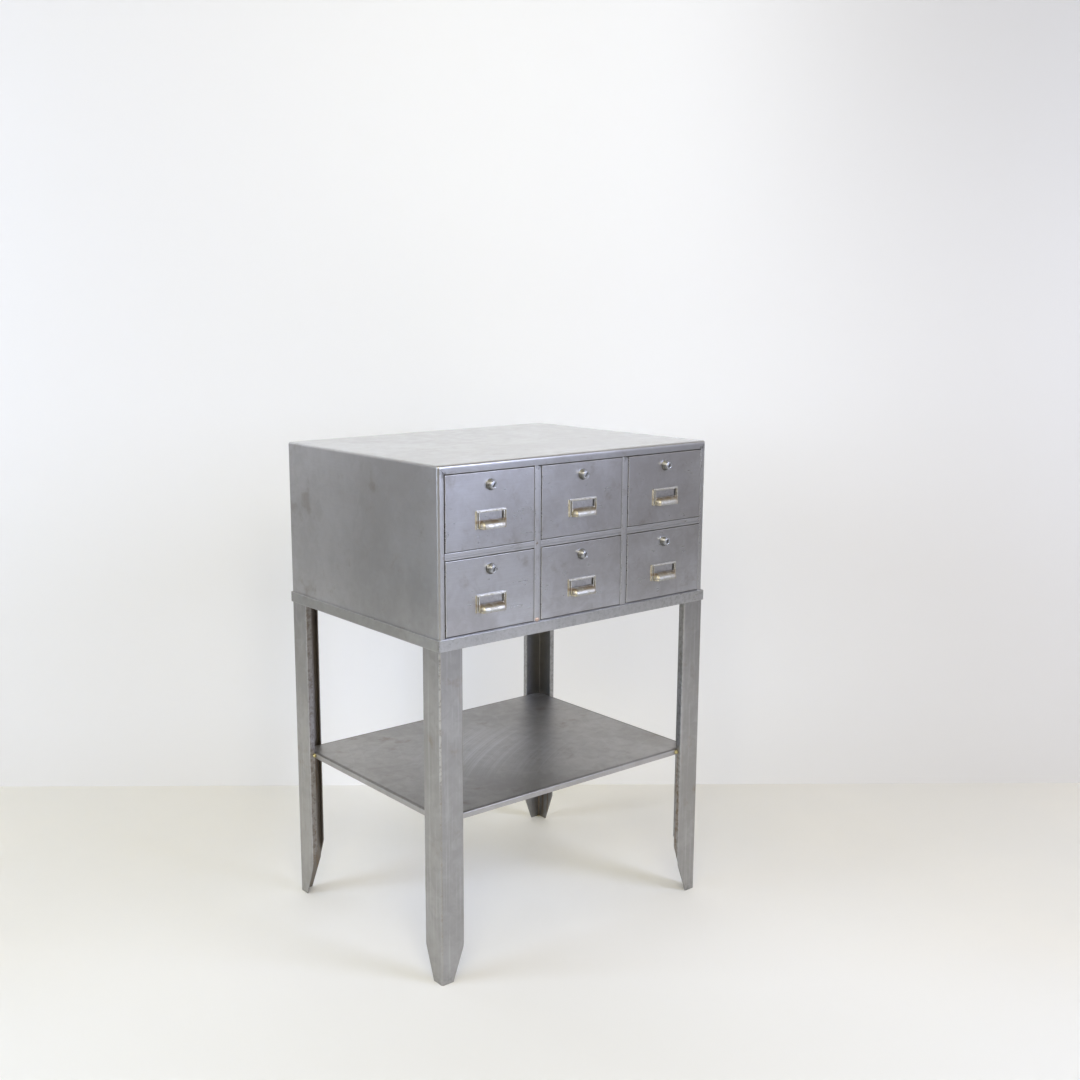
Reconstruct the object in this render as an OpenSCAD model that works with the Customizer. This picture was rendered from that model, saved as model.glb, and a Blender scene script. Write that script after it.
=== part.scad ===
// Sheet steel cabinet of six drawers, standing in an angle iron frame on four pressed legs.
// The drawers face -Y and are numbered 1 to 3 along the top row and 4 to 6 along the bottom row.
// The origin is on the floor, under the middle of the whole outline. Sizes are in millimetres.

/* [Drawer fronts] */
// Width of one drawer front
front_w = 208; // [200:1:240]
// Height of one drawer front
front_h = 140; // [134:1:180]
// Sheet thickness of a drawer front
front_t = 1.2; // [0.8:0.1:2]
// Depth of the edge folded back all round a drawer front
front_return = 11; // [6:0.5:12]
// Outer radius of the folds round a drawer front
front_edge_r = 1.6; // [1.2:0.1:3]
// Shadow gap between a drawer front and the casing round it
front_gap = 1.5; // [1:0.5:4]
// How far the drawer fronts stand out from the casing
front_proud = 1; // [0.5:0.5:3]

/* [Drawer trays] */
// Outside width of a drawer tray
tray_w = 196; // [150:1:196]
// Height of a tray's walls
tray_h = 98; // [60:1:98]
// Length of a tray from the drawer front to its back wall
tray_len = 490; // [430:1:500]
// Sheet thickness of a tray
tray_t = 1; // [0.8:0.1:1.5]
// Height of a tray's floor above the lower edge of its front
tray_rise = 3; // [2.5:0.5:4]
// Clear space between a drawer front and the tray wall behind it
dust_gap = 18; // [17:1:30]
// Distance that a drawer slides out
drawer_travel = 400; // [200:5:410]
// Height of the stop lugs on a tray
lug_h = 9; // [5:1:20]

/* [Casing] */
// Depth of the casing, front to back
casing_d = 530; // [525:1:640]
// Sheet thickness of the casing
casing_t = 1.2; // [0.8:0.1:1.6]
// Outer radius of the casing's folds
casing_r = 5; // [2:0.5:8]
// Height of the face above the top drawers
head_h = 17; // [14:0.5:30]
// Width of the faces at the two sides
side_face_w = 13.5; // [11:0.5:25]
// Width of the posts between the columns of drawers
post_w = 16; // [12:0.5:30]
// Height of the rail between the two rows of drawers
mid_rail_h = 14; // [12:0.5:30]
// Height of the rail under the bottom drawers
sill_h = 21.5; // [12:0.5:40]
// Depth of the edges folded back behind the posts and rails
fold_d = 12; // [8:0.5:12]
// Depth of the flanges round the back panel and of the floor's sides
seam_w = 12; // [6:1:14]

/* [Runners] */
// Gap between a tray's side and its runner
runner_gap = 3; // [2.5:0.5:3.5]
// Sheet thickness of the runners
runner_t = 1.2; // [1:0.1:1.5]
// Height of a guide's upright web, with the ledge under it
runner_h = 26; // [18:1:40]
// Width of the ledge under a tray's edge
ledge_w = 14; // [8:1:25]
// Running clearance under a tray
run_clear = 0.2; // [0.1:0.1:0.5]
// Reach of the stop ears and of the stop lugs across the gap
stop_reach = 2.2; // [1.8:0.1:2.3]
// Length of a stop ear or lug along the runner
stop_len = 6; // [3:1:12]

/* [Label pulls] */
// Width of a label pull
pull_w = 70; // [50:1:90]
// Height of a label pull
pull_h = 34; // [30:0.5:46]
// Height of a pull's lower edge above the lower edge of its drawer front
pull_z = 36; // [20:1:45]
// Reach of a pull's finger lip from the drawer front
pull_out = 15; // [13:0.5:20]
// Height of the finger lip
lip_h = 15; // [13:0.5:18]
// Radius of the finger lip's ends, seen from above
hood_end_r = 8; // [4:0.5:9]
// Width of the card window
window_w = 57; // [40:1:60]
// Width of the strip above the card window
window_head = 4.5; // [4:0.5:8]
// Standing height of the card frame
card_rise = 3; // [2.5:0.5:4]
// Sheet thickness of a pull
pull_t = 1; // [0.8:0.1:1.2]
// Height of the tabs that clinch a pull behind the drawer front
tab_h = 6; // [4:0.5:8]

/* [Locks] */
// Depth of a lock's axis below the upper edge of its drawer front
lock_drop = 24; // [21:0.5:25]
// Outside diameter of a lock's barrel
lock_d = 16.5; // [16:0.5:20]
// Reach of a lock's barrel from the drawer front
lock_out = 10.5; // [7:0.5:12.5]
// Outside diameter of the tapered collar at the foot of a barrel
collar_d = 22; // [21:0.5:26]
// Height of the tapered collar
collar_h = 5; // [2:0.5:6]
// Diameter of the barrel's threaded stem
stem_d = 14.5; // [13.9:0.1:15]
// Length of the stem behind the face of the drawer front
stem_len = 13; // [12:0.5:13]
// Diameter of the turning plug
plug_d = 11; // [9:0.5:11.5]
// Diameter of the plug's head
plug_head_d = 13.4; // [12.5:0.1:14]
// Thickness of the plug's head
plug_head_t = 1.6; // [1:0.1:3]
// Diameter of the plug's tail
tail_d = 7; // [5:0.5:8]
// Running clearance between plug and barrel, on the radius
plug_clear = 0.05; // [0.02:0.01:0.08]
// Length of the keyway across the plug's head
key_w = 9; // [7:0.5:9.5]
// Width of the keyway
key_t = 2.4; // [1.5:0.1:2.5]
// Depth of the keyway
key_depth = 11; // [6:1:12]
// Lean of the keyway from upright with the lock open
key_lean = 30; // [0:5:60]
// Thickness of the locking cam
cam_t = 2; // [1.5:0.1:2.5]
// Width of the locking cam
cam_w = 12; // [11:0.5:13]
// Reach of the locking cam from the lock's axis
cam_len = 34; // [32:0.5:36]
// Gap between the folded edges of the rails and the cam behind them
cam_gap = 1.6; // [1:0.1:2]
// Width across the flats of the lock's nut
nut_af = 20; // [18:0.5:20.5]
// Thickness of the lock's nut
nut_t = 4; // [3:0.5:6]

/* [Stand] */
// Length of the legs, from the floor to the frame
leg_len = 659; // [450:1:800]
// Width of each flange of a leg
leg_flange = 54; // [50:1:70]
// Width of the lips folded inwards along a leg's edges
leg_lip = 13; // [11:0.5:20]
// Sheet thickness of the legs
leg_t = 2.5; // [1.5:0.1:3]
// Outer radius of a leg's corner
leg_r = 4.5; // [3.5:0.5:6]
// Distance from the frame's outer faces in to the legs' outer faces
leg_inset = 1.5; // [0.5:0.5:8]
// Width of a foot along each flange
foot_w = 27; // [22:0.5:36]
// Height of the taper above a foot
foot_taper_h = 73; // [50:1:120]
// Height of the frame round the foot of the casing
frame_h = 22; // [18:0.5:23]
// Thickness of the frame's angle iron
frame_t = 2.5; // [2:0.1:4]
// Depth of the ledge that the casing stands on
frame_ledge = 24; // [20:0.5:40]
// Gap between the casing and the frame round it
frame_clear = 0.4; // [0.1:0.1:1]

/* [Shelf] */
// Height of the shelf's upper side above the floor
shelf_z = 332; // [140:1:400]
// Sheet thickness of the shelf
shelf_t = 1.5; // [1:0.1:2.5]
// Height of the edge folded down round the shelf
shelf_lip = 12; // [10:0.5:30]
// Outer radius of the folds round the shelf
shelf_r = 3; // [2.6:0.1:5]
// Radius of the braze beads that fix the shelf to the legs
bead_r = 5; // [4:0.5:6]

/* [Hidden] */
$fn = 48;
columns = 3;
rows = 2;
drawers = columns * rows;
eps = 0.01;
cut_over = 1;
tight_r = 0.5;
stop_slack = 0.3;
stem_clear = 0.05;
tab_clear = 0.2;
lock_chamfer = 0.6;
tail_over = 1;
hex_sides = 6;

// Openings in the face of the casing, and the pitch from one to the next
bay_w = front_w + 2 * front_gap;
bay_h = front_h + 2 * front_gap;
pitch_x = bay_w + post_w;
pitch_z = bay_h + mid_rail_h;
face_w = columns * bay_w + (columns - 1) * post_w;
casing_w = face_w + 2 * side_face_w;
casing_h = head_h + rows * bay_h + (rows - 1) * mid_rail_h + sill_h;

// Heights above the floor
casing_z = leg_len + frame_t;
sill_top = casing_z + sill_h;
casing_top = casing_z + casing_h;
head_z = casing_top - head_h;

// Places along Y, with the whole outline centred on the origin
frame_over = frame_clear + frame_t;
reach = front_proud + max(pull_out, lock_out);
front_y = (reach - casing_d - frame_over) / 2;
back_y = front_y + casing_d;
face_y = front_y - front_proud;
fold_y = front_y + fold_d;
panel_y = back_y - casing_t;
frame_w = casing_w + 2 * frame_over;
frame_d = casing_d + 2 * frame_over;
frame_y = (front_y + back_y) / 2;

// Outer faces of the legs and edges of the shelf
leg_x = frame_w / 2 - leg_inset;
leg_front_y = frame_y - frame_d / 2 + leg_inset;
leg_back_y = frame_y + frame_d / 2 - leg_inset;
leg_mid_y = (leg_front_y + leg_back_y) / 2;
leg_span_y = leg_back_y - leg_front_y;
taper_slope = foot_taper_h / (leg_flange - foot_w);

// A drawer's own frame: x across, y back from the outer face, z up from the lower edge
tray_y = front_t;
fold_back = front_proud + fold_d;
cam_y = fold_back + cam_gap;
tail_len = cam_y + cam_t + tail_over;
lug_y = fold_back + stop_len + drawer_travel + stop_slack;
lock_z = front_h - lock_drop;
web_x = tray_w / 2 + runner_gap;
web_half = pitch_x / 2 - web_x;
outer_web_x = pitch_x * (columns - 1) / 2 + web_x;
guide_w = casing_w / 2 - casing_t - outer_web_x;
runner_len = panel_y - fold_y;
side_flange_len = runner_len - seam_w;
bore_d = plug_d + 2 * plug_clear;
stem_hole_d = stem_d + 2 * stem_clear;
hood_r = pull_out - card_rise;
lip_w = window_w + 2 * pull_t;
pull_corner_r = 2 * pull_t;

DRAWER_PARTS = ["drawer_front", "drawer_tray", "label_pull", "lock_barrel", "lock_nut",
                "lock_plug", "lock_cam"];

function drawer_x(i) = ((i - 1) % columns - (columns - 1) / 2) * pitch_x;
function drawer_z(i) = head_z - bay_h + front_gap - floor((i - 1) / columns) * pitch_z;

// ---- Flat outlines ----

// What is left over where a circle of radius r rounds the corner of a square
module corner_waste(r) {
    difference() {
        translate([-eps, -eps]) square(r + eps);
        translate([r, r]) circle(r);
    }
}

// Rectangle centred on x, from y = 0 to d, with both corners at y = 0 rounded
module arch(w, d, r) {
    difference() {
        translate([-w / 2, 0]) square([w, d]);
        for (side = [0, 1]) mirror([side, 0]) translate([-w / 2, 0]) corner_waste(r);
    }
}

// Rectangle centred on x, from y = 0 to d, with all four corners rounded
module soft_rect(w, d, r) {
    intersection() {
        arch(w, d, r);
        translate([0, d]) mirror([0, 1]) arch(w, d, r);
    }
}

// Channel open at the back: a face of width w with an edge folded back at each side
module channel(w, d, t) {
    difference() {
        translate([-w / 2, 0]) square([w, d]);
        translate([-w / 2 + t, t]) square([w - 2 * t, d]);
    }
}

// ---- Casing ----

// Solid block, centred on x, with the top and front edges rounded
module casing_block(w, d, h, r) {
    intersection() {
        linear_extrude(h) arch(w, d, r);
        translate([0, 0, h]) rotate([-90, 0, 0]) linear_extrude(d) arch(w, h, r);
        translate([-w / 2, 0, h]) rotate([0, 90, 0]) linear_extrude(w)
            difference() {
                square([h, d]);
                corner_waste(r);
            }
    }
}

module casing_wrapper() {
    inner_w = casing_w - 2 * casing_t;
    color([0.66, 0.67, 0.71]) {
        difference() {
            translate([0, front_y, casing_z]) casing_block(casing_w, casing_d, casing_h, casing_r);
            translate([0, front_y + casing_t, casing_z - casing_t])
                casing_block(inner_w, casing_d, casing_h, casing_r - casing_t);
            translate([-face_w / 2, front_y - casing_t, casing_z - casing_t])
                cube([face_w, 3 * casing_t, head_z - casing_z + casing_t]);
        }
        // Edge folded back along the underside of the head
        translate([-face_w / 2, front_y, head_z]) cube([face_w, fold_d, casing_t]);
        // Edges folded back at both sides
        for (side = [0, 1]) mirror([side, 0, 0])
            translate([face_w / 2, front_y, casing_z])
                cube([casing_t, fold_d, head_z - casing_z + casing_t]);
    }
}

// Floor of the casing, folded up in front as the sill below the bottom drawers
module casing_floor() {
    inner_w = casing_w - 2 * casing_t;
    color([0.5, 0.5, 0.52]) {
        translate([-inner_w / 2, fold_y, casing_z]) cube([inner_w, back_y - fold_y, casing_t]);
        translate([-face_w / 2, front_y, casing_z]) cube([face_w, fold_d, casing_t]);
        translate([-face_w / 2, front_y, casing_z]) cube([face_w, casing_t, sill_h]);
        translate([-face_w / 2, front_y, sill_top - casing_t]) cube([face_w, fold_d, casing_t]);
        for (side = [0, 1]) mirror([side, 0, 0])
            translate([inner_w / 2 - casing_t, fold_y, casing_z])
                cube([casing_t, panel_y - seam_w - fold_y, seam_w]);
    }
}

module back_panel() {
    inner_w = casing_w - 2 * casing_t;
    inner_h = casing_h - 2 * casing_t;
    inner_r = casing_r - casing_t;
    color([0.55, 0.55, 0.57])
        translate([0, back_y, casing_top - casing_t]) rotate([90, 0, 0])
            difference() {
                linear_extrude(seam_w) mirror([0, 1]) arch(inner_w, inner_h, inner_r);
                translate([0, -casing_t, casing_t]) linear_extrude(seam_w)
                    mirror([0, 1]) arch(inner_w - 2 * casing_t, inner_h - 2 * casing_t,
                                        max(inner_r - casing_t, tight_r));
            }
}

// Upright between two columns of drawers, from the sill to the head
module post(side) {
    color([0.68, 0.68, 0.71])
        translate([side * pitch_x / 2, front_y, sill_top])
            linear_extrude(head_z - sill_top) channel(post_w, fold_d, casing_t);
}

// Three lengths of rail between the two rows, one to a column
module mid_rails() {
    color([0.66, 0.66, 0.7])
        for (i = [1 : columns])
            translate([drawer_x(i) - bay_w / 2, front_y, head_z - bay_h - mid_rail_h / 2])
                rotate([90, 0, 90]) linear_extrude(bay_w) rotate(-90) channel(mid_rail_h, fold_d, casing_t);
}

// ---- Runners ----

function runner_z(i) = drawer_z(i) + tray_rise - run_clear - runner_t;

// Puts a shape drawn at an outer runner, with its web's inner face at x = 0, at every row and side
module at_side_runners() {
    for (row = [0 : rows - 1], side = [0, 1])
        mirror([side, 0, 0]) translate([outer_web_x, fold_y, runner_z(1 + row * columns)]) children();
}

// Puts a shape drawn around x = 0 behind both posts, at every row
module at_center_runners() {
    for (row = [0 : rows - 1], post_side = [-1, 1])
        translate([post_side * pitch_x / 2, fold_y, runner_z(1 + row * columns)]) children();
}

// Flat strips that the trays slide on, one at each side and one behind each post
module drawer_ledges() {
    center_w = 2 * (web_half + ledge_w);
    color([0.45, 0.45, 0.47]) {
        at_side_runners()
            translate([-ledge_w, 0, 0]) cube([ledge_w + guide_w - casing_t, runner_len, runner_t]);
        at_center_runners()
            translate([-center_w / 2, 0, 0]) cube([center_w, runner_len, runner_t]);
    }
}

// Web, top flange and stop ear of one side of a guide; it stands on its ledge, and the ear at its
// front end meets a tray's lug when the drawer is out
module guide_side(flange_w, flange_len) {
    translate([0, 0, runner_t]) cube([runner_t, runner_len, runner_h - runner_t]);
    translate([0, 0, runner_h - runner_t]) cube([flange_w, flange_len, runner_t]);
    translate([-stop_reach, 0, runner_t]) cube([stop_reach + eps, stop_len, lug_h]);
}

// Guides along the trays' sides: folded out to the casing's sides, and channels behind the posts
module drawer_guides() {
    color([0.45, 0.45, 0.47]) {
        at_side_runners() {
            guide_side(guide_w, side_flange_len);
            translate([guide_w - runner_t, 0, runner_h - runner_t - seam_w])
                cube([runner_t, side_flange_len, seam_w + runner_t]);
        }
        at_center_runners()
            for (side = [0, 1]) mirror([side, 0, 0])
                translate([-web_half, 0, 0]) guide_side(web_half, runner_len);
    }
}

// ---- Drawers ----

module at_drawer(i) {
    translate([drawer_x(i), face_y, drawer_z(i)]) children();
}

module at_lock(i) {
    at_drawer(i) translate([0, 0, lock_z]) children();
}

// Round bar along +Y, starting at y = from
module bar_y(d, from, to) {
    translate([0, from, 0]) rotate([-90, 0, 0]) cylinder(d = d, h = to - from);
}

module drawer_front(i) {
    slot_x = pull_w / 2 - pull_t - tab_clear;
    color([0.68, 0.69, 0.73]) at_drawer(i)
        difference() {
            intersection() {
                linear_extrude(front_h) arch(front_w, front_return, front_edge_r);
                translate([0, front_return, 0]) rotate([90, 0, 0])
                    linear_extrude(front_return) soft_rect(front_w, front_h, front_edge_r);
                translate([-front_w / 2, 0, front_h / 2]) rotate([90, 0, 90])
                    linear_extrude(front_w) rotate(-90) arch(front_h, front_return, front_edge_r);
            }
            translate([-front_w / 2 + front_t, front_t, front_t])
                cube([front_w - 2 * front_t, front_return, front_h - 2 * front_t]);
            translate([0, 0, lock_z]) bar_y(stem_hole_d, -front_t, 2 * front_t);
            for (side = [0, 1]) mirror([side, 0, 0])
                translate([slot_x, -front_t, pull_z + lip_h - tab_clear])
                    cube([pull_t + 2 * tab_clear, 3 * front_t, tab_h + 2 * tab_clear]);
        }
}

module drawer_tray(i) {
    wall_y = tray_y + dust_gap;
    color([0.5, 0.5, 0.53]) at_drawer(i) translate([0, tray_y, tray_rise]) {
        translate([-tray_w / 2, 0, 0]) cube([tray_w, tray_len, tray_t]);
        for (side = [0, 1]) mirror([side, 0, 0]) {
            translate([tray_w / 2 - tray_t, 0, 0]) cube([tray_t, tray_len, tray_h]);
            translate([tray_w / 2 - eps, lug_y - tray_y, 0])
                cube([stop_reach + eps, stop_len, lug_h]);
        }
        for (y = [dust_gap, tray_len - tray_t])
            translate([-tray_w / 2, y, 0]) cube([tray_w, tray_t, tray_h]);
    }
}

// Finger lip as a solid, smaller all round by shrink: a quarter round over a short skirt, with
// its ends rounded as seen from above
module lip_hood(shrink, skirt) {
    w = lip_w - 2 * shrink;
    r = hood_r - shrink;
    translate([0, -card_rise, 0]) intersection() {
        translate([-w / 2, 0, lip_h - hood_r]) rotate([90, 0, 90]) linear_extrude(w)
            difference() {
                translate([-r, -skirt]) square([r, r + skirt]);
                translate([-r, r]) mirror([0, 1]) corner_waste(r);
            }
        translate([0, -r, -lip_h]) linear_extrude(3 * lip_h) arch(w, r, hood_end_r - shrink);
    }
}

// Card frame with a window, over a finger lip
module label_pull(i) {
    tab_x = pull_w / 2 - pull_t;
    color([0.62, 0.6, 0.55]) at_drawer(i) translate([0, 0, pull_z]) {
        difference() {
            rotate([90, 0, 0]) linear_extrude(card_rise) soft_rect(pull_w, pull_h, pull_corner_r);
            translate([-tab_x, -card_rise + pull_t, -pull_t])
                cube([2 * tab_x, card_rise, pull_h]);
            // Card window, and the way up into the lip below it
            for (span = [[lip_h, pull_h - window_head], [-pull_t, lip_h - pull_t]])
                translate([-window_w / 2, -2 * card_rise, span[0]])
                    cube([window_w, 3 * card_rise, span[1] - span[0]]);
        }
        difference() {
            lip_hood(0, lip_h - hood_r);
            lip_hood(pull_t, lip_h);
        }
        for (side = [0, 1]) mirror([side, 0, 0]) translate([tab_x, -pull_t, lip_h]) {
            cube([pull_t, front_t + 2 * pull_t, tab_h]);
            translate([pull_t - tab_h, front_t + pull_t, 0]) cube([tab_h, pull_t, tab_h]);
        }
    }
}

// ---- Locks ----

module lock_barrel(i) {
    color([0.6, 0.59, 0.57]) at_lock(i)
        difference() {
            union() {
                translate([0, -lock_out + lock_chamfer, 0]) bar_y(lock_d, 0, lock_out - lock_chamfer);
                translate([0, -lock_out, 0]) rotate([-90, 0, 0])
                    cylinder(d1 = lock_d - 2 * lock_chamfer, d2 = lock_d, h = lock_chamfer);
                translate([0, -collar_h, 0]) rotate([-90, 0, 0])
                    cylinder(d1 = lock_d, d2 = collar_d, h = collar_h);
                bar_y(stem_d, -eps, stem_len);
            }
            bar_y(bore_d, -2 * lock_out, 2 * stem_len);
            bar_y(plug_head_d + 2 * plug_clear, -2 * lock_out, -lock_out + plug_head_t + plug_clear);
        }
}

module lock_nut(i) {
    corners_d = nut_af / cos(180 / hex_sides);
    color([0.5, 0.48, 0.42]) at_lock(i)
        difference() {
            translate([0, front_t, 0]) rotate([-90, 0, 0])
                cylinder(d = corners_d, h = nut_t, $fn = hex_sides);
            bar_y(stem_hole_d, 0, 2 * (front_t + nut_t));
        }
}

module lock_plug(i) {
    color([0.55, 0.52, 0.45]) at_lock(i)
        difference() {
            union() {
                bar_y(plug_head_d, -lock_out, -lock_out + plug_head_t);
                bar_y(plug_d, -lock_out + eps, cam_y);
                bar_y(tail_d, 0, tail_len);
            }
            rotate([0, key_lean, 0]) translate([-key_t / 2, -lock_out - eps, -key_w / 2])
                cube([key_t, key_depth, key_w]);
        }
}

// Cam on the plug's tail; it lies sideways with the lock open and stands up behind the rail
module lock_cam(i) {
    color([0.45, 0.45, 0.46]) at_lock(i)
        difference() {
            union() {
                bar_y(cam_w, cam_y, cam_y + cam_t);
                translate([0, cam_y, -cam_w / 2]) cube([cam_len - cam_w / 2, cam_t, cam_w]);
                translate([cam_len - cam_w / 2, 0, 0]) bar_y(cam_w, cam_y, cam_y + cam_t);
            }
            bar_y(tail_d + 2 * plug_clear, 0, 2 * tail_len);
        }
}

// ---- Stand ----

// One side of the frame: angle iron of length len along x, outer face at y = 0, mitred ends
module frame_side(len) {
    intersection() {
        union() {
            translate([-len / 2, 0, leg_len]) cube([len, frame_t, frame_h]);
            translate([-len / 2, 0, leg_len]) cube([len, frame_t + frame_ledge, frame_t]);
        }
        translate([0, 0, leg_len - cut_over]) linear_extrude(frame_h + 2 * cut_over)
            polygon([[-len / 2, 0], [len / 2, 0], [0, len / 2]]);
    }
}

module frame_front() {
    color([0.55, 0.54, 0.53]) translate([0, frame_y - frame_d / 2, 0]) frame_side(frame_w);
}

module frame_back() {
    color([0.55, 0.54, 0.53]) translate([0, frame_y + frame_d / 2, 0]) mirror([0, 1, 0])
        frame_side(frame_w);
}

// Side of the frame, mitred into the front and back
module frame_end(side) {
    color([0.53, 0.53, 0.52]) translate([side * frame_w / 2, frame_y, 0]) rotate(side * 90)
        frame_side(frame_d);
}

// Lipped angle: corner at the origin, flanges along +x and +y, lips folded inwards
module leg_outline() {
    inner_r = leg_r - leg_t;
    lip_r = leg_t + tight_r;
    difference() {
        union() {
            square([leg_flange, leg_t]);
            square([leg_t, leg_flange]);
            translate([leg_flange - leg_t, 0]) square([leg_t, leg_lip]);
            translate([0, leg_flange - leg_t]) square([leg_lip, leg_t]);
            translate([leg_t, leg_t]) corner_waste(inner_r);
        }
        corner_waste(leg_r);
        translate([leg_flange, 0]) mirror([1, 0]) corner_waste(lip_r);
        translate([0, leg_flange]) mirror([0, 1]) corner_waste(lip_r);
    }
}

// What the taper takes off the flange along +x and off its lip
module foot_waste() {
    lip_taper_h = foot_taper_h + leg_lip * taper_slope;
    translate([0, leg_lip + cut_over, 0]) rotate([90, 0, 0]) linear_extrude(leg_lip + 2 * cut_over)
        polygon([[foot_w, 0], [leg_flange, foot_taper_h], [leg_flange + cut_over, foot_taper_h],
                 [leg_flange + cut_over, -cut_over], [foot_w, -cut_over]]);
    translate([leg_flange - leg_t - cut_over, 0, 0]) rotate([90, 0, 90])
        linear_extrude(leg_t + 2 * cut_over)
            polygon([[0, foot_taper_h],
                     [leg_lip + cut_over, lip_taper_h + cut_over * taper_slope],
                     [leg_lip + cut_over, -cut_over], [0, -cut_over]]);
}

module leg_shape() {
    difference() {
        linear_extrude(leg_len) leg_outline();
        foot_waste();
        mirror([1, -1, 0]) foot_waste();
    }
}

// Puts a shape drawn at the front left leg's corner at the corner that is asked for
module at_leg(right, back) {
    translate([0, leg_mid_y, 0]) mirror([right, 0, 0]) mirror([0, back, 0])
        translate([-leg_x, -leg_span_y / 2, 0]) children();
}

module leg(right, back) {
    color([0.5, 0.49, 0.48]) at_leg(right, back) leg_shape();
}

// ---- Shelf ----

// Edge folded down over a length len along +x, with its outer face at y = 0
module shelf_edge(len) {
    rotate([90, 0, 90]) linear_extrude(len)
        difference() {
            translate([0, -shelf_lip]) square([shelf_r + shelf_t, shelf_lip]);
            translate([shelf_t, -2 * shelf_lip]) square([shelf_r + shelf_t, 2 * shelf_lip - shelf_t]);
            mirror([0, 1]) corner_waste(shelf_r);
        }
}

// Plate between the legs' lips with its edges folded down and its corners left open
module shelf() {
    w = 2 * (leg_x - leg_lip);
    d = leg_span_y - 2 * leg_lip;
    bend = shelf_r + shelf_t;
    color([0.6, 0.6, 0.61]) translate([0, leg_mid_y, shelf_z]) {
        translate([bend - w / 2, bend - d / 2, -shelf_t]) cube([w - 2 * bend, d - 2 * bend, shelf_t]);
        for (side = [0, 1]) {
            mirror([0, side, 0]) translate([bend - w / 2, -d / 2, 0]) shelf_edge(w - 2 * bend);
            mirror([side, 0, 0]) translate([w / 2, bend - d / 2, 0]) rotate(90)
                shelf_edge(d - 2 * bend);
        }
    }
}

// Beads of braze in the corners between the shelf's folded edges and the legs' lips
module braze_beads() {
    color([0.72, 0.6, 0.28])
        for (right = [0, 1], back = [0, 1], turn = [0, 1]) at_leg(right, back)
            mirror([turn, -turn, 0]) translate([leg_flange, leg_lip, shelf_z - shelf_lip / 2])
                intersection() {
                    sphere(bead_r);
                    translate([0, -bead_r, -bead_r]) cube([bead_r, bead_r, 2 * bead_r]);
                }
}

casing_wrapper();
casing_floor();
back_panel();
post(-1);  // post_left
post(1);  // post_right
mid_rails();
drawer_ledges();
drawer_guides();
frame_front();
frame_back();
frame_end(-1);  // frame_left
frame_end(1);  // frame_right
leg(0, 0);  // leg_front_left
leg(1, 0);  // leg_front_right
leg(0, 1);  // leg_back_left
leg(1, 1);  // leg_back_right
shelf();
braze_beads();
for (i = [1 : drawers]) {
    drawer_front(i);
    drawer_tray(i);
    label_pull(i);
    lock_barrel(i);
    lock_nut(i);
    lock_plug(i);
    lock_cam(i);
}
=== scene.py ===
"""Look of a sheet steel cabinet of six drawers on a leg stand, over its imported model, in metres."""

import logging
import math
from dataclasses import dataclass, field
from enum import Enum
from functools import reduce
from typing import Any, Callable, Iterable, Sequence, Union

import bmesh
import bpy
from mathutils import Matrix, Vector, noise


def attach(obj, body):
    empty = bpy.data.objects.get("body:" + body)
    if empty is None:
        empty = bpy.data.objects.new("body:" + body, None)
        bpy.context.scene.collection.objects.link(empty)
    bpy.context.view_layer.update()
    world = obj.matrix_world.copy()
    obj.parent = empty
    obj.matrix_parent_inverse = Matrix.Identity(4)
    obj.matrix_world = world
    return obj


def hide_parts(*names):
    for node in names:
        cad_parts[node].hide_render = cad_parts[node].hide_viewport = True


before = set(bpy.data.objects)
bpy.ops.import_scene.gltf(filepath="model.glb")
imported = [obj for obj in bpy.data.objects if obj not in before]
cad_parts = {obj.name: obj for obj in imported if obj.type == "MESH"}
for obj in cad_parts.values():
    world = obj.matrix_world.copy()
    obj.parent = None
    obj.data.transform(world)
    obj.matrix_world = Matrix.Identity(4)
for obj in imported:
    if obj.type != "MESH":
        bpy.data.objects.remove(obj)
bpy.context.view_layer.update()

MM = 0.001
# How near a place has to lie: on an edge, on a welded seam, on a sheet.
TINY, HAIR, SKIN = 0.001 * MM, 0.01 * MM, 0.1 * MM
# A unit vector's part along an axis: at least so much to run along it, at most so much to cross it.
ALONG, ACROSS = 0.9, 0.1
BLACK = (0.0, 0.0, 0.0)
LOG = logging.getLogger("cabinet")

Point = Sequence[float]
Colour = tuple[float, float, float]
Test = Callable[[Vector, Vector], bool]


# ---- Shapes ----


def parts_of(wholes: Iterable, kind: str) -> list:
    """The "edges" or "verts" of some faces or edges, once each, in the same order in every run."""
    return list(dict.fromkeys(part for whole in wholes for part in getattr(whole, kind)))


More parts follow.
